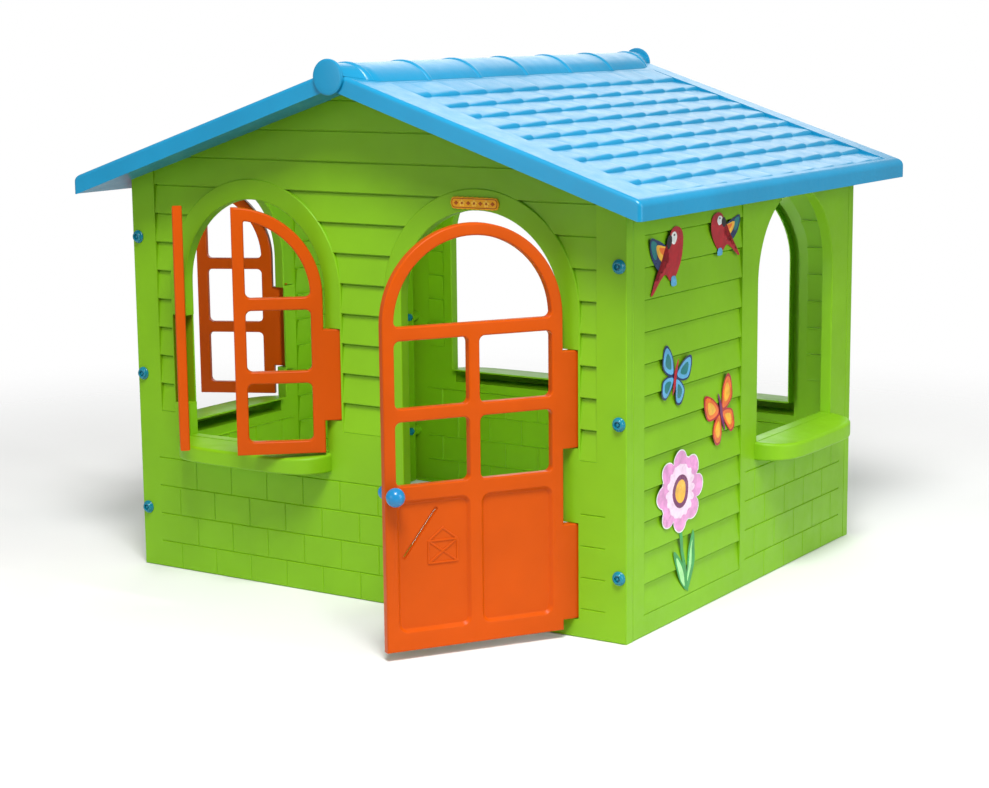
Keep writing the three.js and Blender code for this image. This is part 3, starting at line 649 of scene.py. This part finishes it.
def door_body():
    """Door leaf with its recessed lower panels, the slanted letter slot and the envelope relief."""
    inner, outer = 12, LEAF_RADIUS - 25
    columns = [(-outer, -inner), (inner, outer)]
    panes = [rounded_rectangle(left, right, low, high, PANE_CORNER)
             for left, right in columns for low, high in PANE_ROWS]
    panes.append(top_pane(-outer, outer, outer))
    body = leaf_body(1, arch(0, LEAF_RADIUS, 18, LEAF_SPRING), panes, [KNUCKLE_HIGH, KNUCKLE_LOW])
    recesses = []
    for left, right in columns:
        loop = rounded_rectangle(left + 8, right - 8, 64, 322, PANE_CORNER)
        rings = [(inset, HALF_LEAF + height) for inset, height in (
            (0, -8), (-1.5, -7.5), (-4, -5), (-7, -1.2), (-9.5, 0), (-9.5, 3))]
        recesses += [lofted(loop, rings), lofted(loop, [(inset, -z) for inset, z in reversed(rings)])]
    body = cut(body, recesses)
    groove = stroke((-156, 213), (-86, 306), 9, 0.5, HALF_LEAF + 1)
    slit = stroke((-155, 213.4), (-86.5, 304.4), 2.5, -HALF_LEAF - 1, HALF_LEAF + 1)
    corners = [(-103, 194), (-40, 194), (-40, 240), (-103, 240)]
    lines = list(zip(corners, corners[1:] + corners[:1])) + list(zip(corners[:2], corners[2:]))
    lines += [((-101.6, 241), (-71, 266)), ((-72.4, 265.2), (-41.2, 241.3))]
    floor = HALF_LEAF - 8
    body = cut(body, [bar("z", KNOB_PLACE, SHAFT_HOLE, -HALF_LEAF - 1, HALF_LEAF + 1, 24), groove])
    body = cut(body, [slit])
    ribs = [stroke(a, b, 4 + 0.07 * i, floor - 1 - 0.05 * i, floor + 2 - 0.09 * i)
            for i, (a, b) in enumerate(lines)]
    return join([body, *ribs])


def hinge_matrix(wall, centre, side, opened):
    swing = Matrix.Rotation(math.radians(side * opened), 4, "Y")
    return (wall @ Matrix.Translation((centre + side * PIVOT, 0, -HALF_LEAF)) @ swing
            @ Matrix.Translation((-side * PIVOT, 0, 0)))


# ---------- roof ----------

TILE_ROWS = 10
TILE_START, TILE_END = 88, 727
TILE_WIDTH = 109
TILE_FRONT, TILE_BACK = -559, 592
TILE_THIN, TILE_RISE = 1.6, 7.4
TILE_PITCH = (TILE_END - TILE_START) / TILE_ROWS
BED_DEPTH = 8.6


def roof_slab():
    """Slope slab with rounded eave and gable edges, drawn as sections along Y."""
    def section(y, inset):
        eave, radius, drop = ROOF_HALF_SPAN - inset, 13 - inset, inset * 1.05
        turn, corner = eave - radius * 1.2, roof_top(eave) - drop
        bend = [(turn, roof_top(turn) - drop), (eave, corner), (eave, corner - radius)]
        points = [(1, roof_top(1) - drop), bend[0]]
        for i in range(1, 6):
            t = i / 6
            weights = ((1 - t) ** 2, 2 * t * (1 - t), t * t)
            points.append(tuple(sum(w * p[k] for w, p in zip(weights, bend)) for k in (0, 1)))
        points += [bend[2], (eave, roof_top(ROOF_HALF_SPAN) - FASCIA), (1, roof_top(1) - FASCIA)]
        return [(x, y, z) for x, z in points]
    radius, steps = 9, 5
    ends = []
    for i in range(steps + 1):
        t = math.pi / 2 * i / steps
        ends.append((ROOF_HALF_LENGTH - radius + radius * math.cos(t), radius * (1 - math.sin(t))))
    rows = [(-y, inset) for y, inset in ends] + [(y, inset) for y, inset in reversed(ends)]
    slab = swept([section(y, inset) for y, inset in rows])
    bed = [(roof_top(x) + rise, x) for x, rise in (
        (TILE_START, -BED_DEPTH), (TILE_START, 9), (TILE_END, 9), (TILE_END, -BED_DEPTH))]
    return cut(slab, [outward(*along_y(plate(bed, TILE_FRONT, TILE_BACK)))])


def tile(x, y0, y1):
    """One moulded tile: it rises down the slope and towards +Y, with a soft rolled edge."""
    lead = (12, 8, 4.5, 2, 0.6, 0)
    steps_x = (-2.0, 0.0, 0.5 * TILE_PITCH, *[TILE_PITCH - step for step in lead])
    edge_x = (1.0, 1.0, 1.0, 1.0, 0.97, 0.88, 0.7, 0.45, 0.1)
    width = y1 - y0
    shares = (0.0, 0.04, 0.12, 0.25, 0.42, 0.6, 0.76, 0.87, 0.93, 0.965, 0.985, 1.0)
    edge_y = (0.0, 0.1, 0.26, 0.46, 0.64, 0.8, 0.92, 1.0, 1.0, 0.94, 0.7, 0.1)
    top, bottom = [], []
    for dx, fall_x in zip(steps_x, edge_x):
        share = max(dx, 0) / TILE_PITCH
        for s, fall_y in zip(shares, edge_y):
            bed = -8.4 if x > TILE_START + 1 else -8.4 * share - 0.3
            height = bed + share * (TILE_THIN + TILE_RISE * fall_y) * fall_x
            top.append((x + dx, y0 + s * width, roof_top(x + dx) + height))
            bottom.append((x + dx, y0 + s * width, roof_top(x + dx) - 10))
    rows, columns = len(steps_x), len(shares)
    faces, shift = [], len(top)
    for r in range(rows - 1):
        for c in range(columns - 1):
            a = r * columns + c
            faces.append((a, a + columns, a + columns + 1, a + 1))
            faces.append((a + shift, a + shift + 1, a + shift + columns + 1, a + shift + columns))
    rim = [*range(columns)] + [r * columns + columns - 1 for r in range(1, rows)]
    rim += [(rows - 1) * columns + c for c in range(columns - 2, -1, -1)]
    rim += [r * columns for r in range(rows - 2, 0, -1)]
    for a, b in zip(rim, rim[1:] + rim[:1]):
        faces.append((a, b, b + shift, a + shift))
    return outward(top + bottom, faces)


def tile_sets():
    """Four sets of tiles; tiles of one set never touch."""
    sets = [[], [], [], []]
    for row in range(TILE_ROWS):
        y = TILE_FRONT - (0 if row % 2 else 0.45 * TILE_WIDTH)
        column = 0
        while y < TILE_BACK - 1:
            low, high = max(y, TILE_FRONT), min(y + TILE_WIDTH, TILE_BACK)
            if high - low > 8:
                course = TILE_START + row * TILE_PITCH
                sets[2 * (row % 2) + column % 2].append(tile(course, low, high))
            y += TILE_WIDTH
            column += 1
    return [merged(bodies) for bodies in sets]


def roof_body():
    return join([roof_slab(), *tile_sets()])


CAP_TOP, CAP_HALF, CAP_END_HALF, CAP_FOOT = 1190, 80, 35.5, 1100
CAP_REACH = ROOF_HALF_LENGTH + GAP
CAP_TAPER = 100
COLLARS = 7
DISC_RADIUS = 38.5


def cap_section(y, growth, steps=24):
    taper = min(max((CAP_REACH - abs(y)) / CAP_TAPER, 0), 1)
    eased = taper * taper * (3 - 2 * taper) * 0.4 + taper * 0.6
    half = CAP_END_HALF + (CAP_HALF - CAP_END_HALF) * eased + growth
    top = CAP_TOP + growth
    rise = top - roof_top(half)
    radius = (half ** 2 + rise ** 2) / (2 * rise)
    reach = math.asin(half / radius)
    points = [(half, CAP_FOOT), (-half, CAP_FOOT)]
    for i in range(steps + 1):
        angle = -reach + 2 * reach * i / steps
        points.append((radius * math.sin(angle), top - radius + radius * math.cos(angle)))
    return [(x, y, z) for x, z in points]


def ridge_body():
    reach = CAP_REACH
    spacing = (2 * ROOF_HALF_LENGTH - 120) / (COLLARS - 1)
    middles = [-ROOF_HALF_LENGTH + 60 + i * spacing for i in range(COLLARS)]
    bump = [(-8, 0), (-7, 1.2), (-5, 2.5), (-2, 3.1), (2, 3.1), (5, 2.5), (7, 1.2), (8, 0)]
    rows = {-reach - 1: 0, reach + 1: 0}
    for middle in middles:
        rows.update({middle + dy: rise for dy, rise in bump})
    for i in range(1, 8):
        for sign in (-1, 1):
            y = sign * (reach - CAP_TAPER * i / 8)
            if all(abs(y - middle) > 9 for middle in middles):
                rows[y] = 0
    outer = swept([cap_section(y, rows[y]) for y in sorted(rows)])
    stations = [-reach, -reach + CAP_TAPER / 2, -reach + CAP_TAPER]
    inner = swept([cap_section(y, -SKIN) for y in stations + [-y for y in reversed(stations)]])
    side, foot = CAP_HALF + 20, CAP_FOOT - 50
    below = [(roof_top(side) + GAP, -side), (foot, -side), (foot, side), (roof_top(side) + GAP, side),
             (roof_top(0) + GAP, 0)]
    below = plate(anticlockwise(below), -reach - 2, reach + 2)
    body = cut(outer, [inner, outward(*along_y(below))])
    rim = [(1.5, 0), (0.4, 0.5), (0, 1.6), (0, 4.6), (0.5, 6.2), (2, 7.3), (5, 7.9), (12, 8.4),
           (24, 8.8)]
    disc = turned([(0, 0), *[(DISC_RADIUS - inset, height) for inset, height in rim], (0, 9)], 64)
    ends = []
    for direction in (-1, 1):
        stand = Matrix.Rotation(math.radians(-90 * direction), 4, "X")
        place = Matrix.Translation((0, direction * reach, TOTAL_HEIGHT - DISC_RADIUS)) @ stand
        ends.append(moved(disc, place))
    return join([body, *ends])


# ---------- fasteners, knobs and plaque ----------

def bolt_body():
    cap = [(15, GAP), (15, 1.8), (14.6, 2.8), (13.6, 3.6), (12.6, 4.2), (12, 6.4), (11, 8), (9.4, 9),
           (7.8, 9.3), (7, 8.9), (6.6, 6), (6.3, 4.4), (3.6, 4.4), (3.2, 6.6), (2.2, 7.6), (0, 8)]
    return turned([(0, -43), (4, -43), (5, -42), (5, GAP), *cap], 32)


def nut_body():
    far = -FLANGE - GAP - SKIN - GAP
    profile = [(0, far - 8), (9.5, far - 8), (11, far - 7), (11, far - 1), (9.5, far), (0, far)]
    return boolean(turned(profile, 48), [
        ("INTERSECT", bar("z", (0, 0, 0), 11, far - 9, far + 1, 6)),
        ("DIFFERENCE", bar("z", (0, 0, 0), BOLT_HOLE, far - 9, far + 1, 24)),
    ])


def knob_outer_body():
    """Ball on a neck, with the shaft that goes through the door."""
    face = HALF_LEAF + GAP
    radius, neck = 19.4, 9
    centre = face + 5 + radius * 0.92
    start = math.asin(neck / radius)
    turns = [start + (math.pi - start) * i / 20 for i in range(20)]
    ball = [(radius * math.sin(t), centre - radius * math.cos(t)) for t in turns]
    end = -face - SHAFT_LENGTH
    shaft = [(0, end), (SHAFT_RADIUS, end), (SHAFT_RADIUS, face), (11, face), (11, face + 1),
             (9.6, face + 2)]
    return turned([*shaft, *ball, (0, centre + radius)], 48)


def knob_inner_body():
    """Turned cap with a blind socket for the shaft."""
    face, socket = HALF_LEAF + GAP, SHAFT_RADIUS + 0.3
    outside = [(socket, 0), (11, 0), (12.5, 2), (14, 6), (14.8, 9), (15, 12), (14.2, 15.5), (12, 18.5),
               (8, 21), (4, 22)]
    profile = [(radius, -face - depth) for radius, depth in outside]
    end = -face - SHAFT_LENGTH - 0.5
    return turned([(0, -face - 22), *reversed(profile), (socket, end), (0, end)], 48)


def plaque_parts():
    """Amber name-plate shape with a scalloped edge, a rim and a row of plain flowers and lozenges."""
    base = rounded_rectangle(-59, 59, -12, 12, 10, 8)
    dense = []
    for (x0, y0), (x1, y1) in zip(base, base[1:] + base[:1]):
        pieces = max(1, int(math.dist((x0, y0), (x1, y1)) / 2))
        dense += [(x0 + (x1 - x0) * k / pieces, y0 + (y1 - y0) * k / pieces) for k in range(pieces)]
    edge = []
    for i, (x, y) in enumerate(dense):
        wave = 1.4 * abs(math.sin(math.pi * i * 22 / len(dense)))
        normal = unit_normal(dense[i - 1], dense[(i + 1) % len(dense)])
        edge.append((x + normal[0] * wave, y + normal[1] * wave))
    face = 3.4
    rim = lofted(offset(base, -1.6), [(0, face), (0.3, 4.8), (0.9, 5.2)], [offset(base, -3.6)])
    parts = [(lofted(edge, edge_rings(GAP, 4.2, 0, 1.6)), AMBER), (rim, BROWN)]
    petal = turned([(0, face), (3.0, face), (2.6, 5.2), (0, 6.0)], 14)
    for i in range(-3, 4):
        x = i * 15.2
        if i % 2:
            lozenge = [(x - 6, 0), (x, -4.8), (x + 6, 0), (x, 4.8)]
            parts.append((lofted(lozenge, [(0, face), (0.4, 4.9), (1.6, 5.6)]), BROWN))
            continue
        for turn in [math.radians(angle) for angle in range(0, 360, 72)]:
            place = Matrix.Translation((x + 4.8 * math.sin(turn), 4.8 * math.cos(turn), 0))
            parts.append((moved(petal, place), GOLD))
        parts.append((moved(petal, Matrix.Translation((x, 0, 0.3))), BROWN))
    return parts


# ---------- stickers: printed layers that follow the lapped boards ----------

def board_surface(y):
    """Depth that the sticker sinks to between the laps, below the wall's face."""
    share = ((y - SIDE_SIDING_BOTTOM) / BOARD_PITCH) % 1.0
    return -0.6 - 1.6 * math.sin(math.pi * share) ** 2


def layer(loop, level, at):
    """A thin printed layer of the sticker, laid over the boards."""
    loop = [(x + at[0], y + at[1]) for x, y in anticlockwise(loop)]
    bm = bmesh.new()
    bm.faces.new([bm.verts.new((x, y, 0)) for x, y in loop])
    bmesh.ops.triangulate(bm, faces=bm.faces[:])
    low, high = min(y for _, y in loop), max(y for _, y in loop)
    board = math.floor((low - SIDE_SIDING_BOTTOM) / BOARD_PITCH)
    while SIDE_SIDING_BOTTOM + board * BOARD_PITCH < high + 1:
        line = SIDE_SIDING_BOTTOM + board * BOARD_PITCH
        for share in (0, 0.15, 0.3, 0.5, 0.7, 0.85):
            bmesh.ops.bisect_plane(bm, geom=bm.verts[:] + bm.edges[:] + bm.faces[:], dist=1e-4,
                                   plane_co=(0, line + share * BOARD_PITCH, 0), plane_no=(0, 1, 0))
        board += 1
    corners = [(v.co.x, v.co.y) for v in bm.verts]
    bm.verts.index_update()
    faces = [tuple(v.index for v in f.verts) for f in bm.faces]
    rim = [(e.verts[0].index, e.verts[1].index) for e in bm.edges if len(e.link_faces) == 1]
    bm.free()
    directed = {edge for face in faces for edge in zip(face, face[1:] + face[:1])}
    thick, count = 0.35, len(corners)
    lift = 0.35 + level * 0.4
    top = [(x, y, board_surface(y) + lift + thick) for x, y in corners]
    base = [(x, y, board_surface(y) + lift) for x, y in corners]
    sides = []
    for a, b in rim:
        if (a, b) not in directed:
            a, b = b, a
        sides.append((b, a, a + count, b + count))
    return outward(top + base, faces + [tuple(i + count for i in f[::-1]) for f in faces] + sides)


def oval(rx, ry, steps=28):
    turns = [2 * math.pi * i / steps for i in range(steps)]
    return [(rx * math.cos(t), ry * math.sin(t)) for t in turns]


def petal_ring(rx, ry, petals, depth, steps=96):
    points = []
    for i in range(steps):
        t = 2 * math.pi * i / steps
        reach = 1 - depth + depth * abs(math.cos(petals * t / 2)) ** 0.7
        points.append((rx * reach * math.cos(t), ry * reach * math.sin(t)))
    return points


def smooth_loop(points, steps=6):
    """A closed curve through the points."""
    count, curve = len(points), []
    for i in range(count):
        p0, p1, p2, p3 = (points[(i + k) % count] for k in (-1, 0, 1, 2))
        for s in range(steps):
            t = s / steps
            curve.append(tuple(
                0.5 * (2 * b + (c - a) * t + (2 * a - 5 * b + 4 * c - d) * t * t
                       + (3 * b - a - 3 * c + d) * t ** 3)
                for a, b, c, d in zip(p0, p1, p2, p3)))
    return curve


def bird(width, height):
    """A plain parrot-like bird of simple shapes; sizes are shares of its width and height."""
    shapes = [
        ("navy", [(-.47, .35), (-.43, .04), (-.24, -.16), (.02, -.18), (.06, .06), (-.14, .24),
                  (-.32, .33)]),
        ("teal", [(-.45, .31), (-.42, .12), (-.34, .04), (-.30, .22), (-.36, .31)]),
        ("yellow", [(-.32, .24), (-.28, .06), (-.12, -.06), (.06, .00), (.04, .14), (-.16, .22)]),
        ("orange", [(-.26, .20), (-.20, .10), (-.06, .04), (.04, .06), (.02, .14), (-.14, .19)]),
        ("red", [(-.46, -.45), (-.42, -.48), (-.14, -.22), (.00, -.32), (.14, -.26), (.26, .00),
                 (.31, .24), (.26, .42), (.12, .49), (.00, .42), (-.02, .20), (-.04, .00), (-.16, -.16),
                 (-.32, -.32)]),
        ("white", [(.02, .26), (.10, .22), (.15, .32), (.10, .41), (.02, .38)]),
        ("black", [(-.05, .36), (-.09, .24), (-.04, .16), (.03, .24), (.02, .35)]),
        ("black", [(.06, .36), (.085, .345), (.10, .36), (.085, .38)]),
        ("sky", [(.02, -.40), (.14, -.40), (.12, -.27), (.03, -.27)]),
    ]
    return [(ink, [(x * width, y * height) for x, y in smooth_loop(points)]) for ink, points in shapes]


def butterfly(width, height, rim, wing, patch, body_ink):
    shapes = []
    for side in (-1, 1):
        upper = [(.02, .04), (.18, .34), (.40, .50), (.50, .34), (.44, .08), (.20, -.02)]
        lower = [(.02, 0), (.22, -.04), (.38, -.18), (.34, -.42), (.18, -.46), (.06, -.22)]
        for points in (upper, lower):
            loop = smooth_loop([(side * x * width, y * height) for x, y in points])
            cx = sum(x for x, _ in loop) / len(loop)
            cy = sum(y for _, y in loop) / len(loop)
            for ink, share in ((rim, 1.0), (wing, 0.84), (patch, 0.5)):
                shapes.append((ink, [(cx + (x - cx) * share, cy + (y - cy) * share) for x, y in loop]))
    shapes.append((body_ink, oval(width * 0.04, height * 0.34)))
    return shapes


def flower(width, height):
    stem = smooth_loop([(-8, -62), (2, -62), (16, -130), (38, -216), (30, -220), (4, -132)])
    leaf_a = smooth_loop([(30, -224), (6, -204), (-18, -166), (-26, -128), (6, -154), (26, -190)])
    leaf_b = smooth_loop([(34, -224), (56, -196), (68, -146), (58, -96), (38, -140), (30, -190)])
    lamina = smooth_loop([(22, -214), (4, -196), (-14, -160), (-14, -144), (2, -162), (18, -190)])
    vein = smooth_loop([(36, -206), (50, -170), (56, -118), (44, -150), (36, -184)])
    return [
        ("leaf", stem), ("leaf", leaf_a), ("leaf", leaf_b), ("mint", vein), ("mint", lamina),
        ("white", petal_ring(width / 2, height / 2, 8, 0.26)),
        ("pink", petal_ring(width * 0.485, height * 0.485, 8, 0.27)),
        ("blush", petal_ring(width * 0.31, height * 0.33, 16, 0.22)),
        ("plum", oval(width * 0.17, height * 0.2)),
        ("yellow", oval(width * 0.11, height * 0.14)),
    ]


def sticker_parts(shapes, at, tilt=0.0):
    spin = math.radians(tilt)
    parts = []
    for index, (ink, loop) in enumerate(shapes):
        tilted = [(x * math.cos(spin) - y * math.sin(spin), x * math.sin(spin) + y * math.cos(spin))
                  for x, y in loop]
        parts.append((layer(tilted, index * 0.35, at), INK[ink]))
    return parts


# ---------- the pieces ----------

gable_siding = (-592, 592, FRONT_SIDING_BOTTOM, RIDGE_HEIGHT)
side_siding = (-485, -40, SIDE_SIDING_BOTTOM, 920)
two_shutters = [(-1, KNUCKLE_HIGH), (1, KNUCKLE_HIGH)]
door_hinges = [(1, KNUCKLE_HIGH), (1, KNUCKLE_LOW)]

WALLS = [
    ("front_wall", FRONT, gable_outline, gable_siding, True, "face", [(-604, 56), (554, 612)],
     [(-OPENING_OFFSET, WINDOW_BOTTOM, two_shutters), (OPENING_OFFSET, DOOR_BOTTOM, door_hinges)]),
    ("back_wall", BACK, gable_outline, gable_siding, True, "face", [(-606, 606)],
     [(-OPENING_OFFSET, WINDOW_BOTTOM, []), (OPENING_OFFSET, WINDOW_BOTTOM, [])]),
    ("right_wall", RIGHT, square_outline, side_siding, False, "ends", [(-15, 500)],
     [(SIDE_OFFSET, WINDOW_BOTTOM, [])]),
    ("left_wall", LEFT, square_outline, side_siding, False, "ends", [(-15, 500)],
     [(SIDE_OFFSET, WINDOW_BOTTOM, two_shutters)]),
]
for name, matrix, outline, siding, trim, bolts, bricks, openings in WALLS:
    body = wall_body(outline, openings, siding, trim, bolts, bricks)
    add_piece(name + "_shell", [(body, GREEN)], matrix, "house", [name])

HALF_SHUTTERS = {1: shutter_body(1), -1: shutter_body(-1)}
LEAVES = [
    ("front_shutter_left", FRONT, -OPENING_OFFSET, -1, 48, "front_left_shutter"),
    ("front_shutter_right", FRONT, -OPENING_OFFSET, 1, 40, "front_right_shutter"),
    ("side_shutter_rear", LEFT, SIDE_OFFSET, -1, 64.5, "side_rear_shutter"),
    ("side_shutter_front", LEFT, SIDE_OFFSET, 1, 55, "side_front_shutter"),
]
for name, wall, centre, side, opened, body_name in LEAVES:
    matrix = hinge_matrix(wall, centre, side, opened)
    add_piece(name + "_leaf", [(HALF_SHUTTERS[side], ORANGE)], matrix, body_name,
              [name])
DOOR = hinge_matrix(FRONT, OPENING_OFFSET, 1, 57)
add_piece("door_leaf_moulding", [(door_body(), ORANGE)], DOOR, "door", ["door_leaf"])
for name, node_name, body in (("door_knob_outer_ball", "door_knob_outer", knob_outer_body()),
                              ("door_knob_inner_cap", "door_knob_inner", knob_inner_body())):
    add_piece(name, [(body, KNOB)], DOOR @ Matrix.Translation(KNOB_PLACE), "door_knob",
              [node_name])

right_roof = roof_body()
half_turn = Matrix.Rotation(math.pi, 4, "Z")
for side_name, matrix in (("right", HOUSE), ("left", HOUSE @ half_turn)):
    add_piece(f"roof_{side_name}_tiles", [(right_roof, BLUE)], matrix, "house",
              ["roof_panel_" + side_name], sharp=28)
add_piece("ridge_cap_arch", [(ridge_body(), BLUE)], HOUSE, "house", ["ridge_cap"])

bolt, nut = bolt_body(), nut_body()
for wall_name, wall in (("front", FRONT), ("back", BACK)):
    for side_name, side in (("left", -1), ("right", 1)):
        for level, height in zip(("top", "middle", "bottom"), BOLT_HEIGHTS):
            place = wall @ Matrix.Translation((side * (HOUSE_WIDTH / 2 - BOLT_INSET), height, 0))
            for kind, body in (("bolt", bolt), ("nut", nut)):
                node_name = f"corner_{kind}_{wall_name}_{side_name}_{level}"
                add_piece(node_name + "_turned", [(body, TEAL)], place, "house",
                          [node_name])

sign_place = FRONT @ Matrix.Translation((OPENING_OFFSET - 5, 900, 0))
add_piece("door_sign_plaque", plaque_parts(), sign_place, "house", ["door_sign"])

STICKERS = [
    ("sticker_bird_large", bird(182, 138), (-374, 783), 0),
    ("sticker_bird_small", bird(-176, 104), (-139, 813), 0),
    ("sticker_butterfly_blue", butterfly(134, 116, "navy", "sky", "teal", "red"), (-352, 532), -18),
    ("sticker_butterfly_orange", butterfly(136, 136, "red", "orange", "yellow", "plum"),
     (-138, 423), 20),
    ("sticker_flower", flower(210, 182), (-325, 281), 0),
]
for name, shapes, at, tilt in STICKERS:
    add_piece(name + "_print", sticker_parts(shapes, at, tilt), RIGHT, "house", [name])


# ---------- floor, light and camera ----------

FLOOR_REACH = 14
FLOOR_FADE = (1.3, 3.4)


def stage_floor():
    """Pale matt floor, which fades out into the white surround."""
    corners = [(x, y, 0) for x, y in rectangle(-FLOOR_REACH, FLOOR_REACH, -FLOOR_REACH, FLOOR_REACH)]
    floor = mesh_object("pale_floor", (corners, [(0, 1, 2, 3)]))
    floor.location.z = -0.0005
    material = bpy.data.materials.new("pale_floor")
    material.use_nodes = True
    tree = material.node_tree
    shader = tree.nodes["Principled BSDF"]
    set_sockets(shader, {"Roughness": 0.8, "Specular IOR Level": 0.1})
    mottle, ramp = noise(tree, 1.5), node(tree, "ShaderNodeValToRGB")
    ramp.color_ramp.elements[0].color = (0.80, 0.80, 0.79, 1)
    ramp.color_ramp.elements[1].color = (0.83, 0.83, 0.82, 1)
    tree.links.new(mottle.outputs["Fac"], ramp.inputs["Fac"])
    tree.links.new(ramp.outputs["Color"], shader.inputs["Base Color"])
    place = node(tree, "ShaderNodeTexCoord").outputs["Object"]
    distance = node(tree, "ShaderNodeVectorMath", operation="LENGTH")
    tree.links.new(place, distance.inputs[0])
    fade = map_range(tree, FLOOR_FADE, (1.0, 0.0), interpolation_type="SMOOTHSTEP")
    tree.links.new(distance.outputs["Value"], fade.inputs["Value"])
    tree.links.new(fade.outputs["Result"], shader.inputs["Alpha"])
    floor.data.materials.append(material)


def area_light(name, place, target, size, power):
    data = bpy.data.lights.new(name, "AREA")
    data.shape, data.size, data.energy = "SQUARE", size, power
    light = bpy.data.objects.new(name, data)
    bpy.context.scene.collection.objects.link(light)
    aim = (Vector(target) - Vector(place)).to_track_quat("-Z", "Y").to_matrix().to_4x4()
    light.matrix_world = Matrix.Translation(place) @ aim
    light.visible_camera = False


stage_floor()
area_light("key_softbox", (1.9, -2.6, 5.0), (0, 0, 0.5), 1.8, 355)
area_light("front_softbox", (-1.5, -5.5, 1.6), (0, 0, 0.6), 3.0, 46)
area_light("rear_softbox", (-2.6, 5.2, 3.0), (0.2, 0, 1.0), 4.0, 84)
area_light("right_softbox", (5.0, 0.4, 1.9), (0.6, 0, 0.8), 3.0, 95)
area_light("interior_fill", (0.1, -0.25, 0.86), (-0.15, 0.6, 0.35), 0.2, 6.5)


def studio_world(seen, lighting):
    """A plain white surround that lights the object less than it shows."""
    world = bpy.data.worlds.new("studio")
    bpy.context.scene.world = world
    world.use_nodes = True
    tree = world.node_tree
    path = node(tree, "ShaderNodeLightPath")
    strength = map_range(tree, (0.0, 1.0), (lighting, seen))
    tree.links.new(path.outputs["Is Camera Ray"], strength.inputs["Value"])
    background = tree.nodes["Background"]
    background.inputs["Color"].default_value = (1, 1, 1, 1)
    tree.links.new(strength.outputs["Result"], background.inputs["Strength"])


studio_world(1.0, 0.33)

# The camera stands where the photo's stood, worked out from the house's corners
YAW, PITCH, ROLL = (math.radians(angle) for angle in (33.1196, -10.0217, -0.5643))
CAMERA_PLACE = (HOUSE_X + 2.7546, HOUSE_Y - 4.2565, 1.2798)
camera_data = bpy.data.cameras.new("camera")
camera_data.lens, camera_data.sensor_width = 77.385, 36
camera = bpy.data.objects.new("camera", camera_data)
bpy.context.scene.collection.objects.link(camera)
camera.matrix_world = (Matrix.Translation(CAMERA_PLACE) @ Matrix.Rotation(YAW, 4, "Z")
                       @ Matrix.Rotation(math.pi / 2 + PITCH, 4, "X") @ Matrix.Rotation(ROLL, 4, "Z"))
bpy.context.scene.camera = camera
bpy.context.scene.view_settings.view_transform = "Standard"
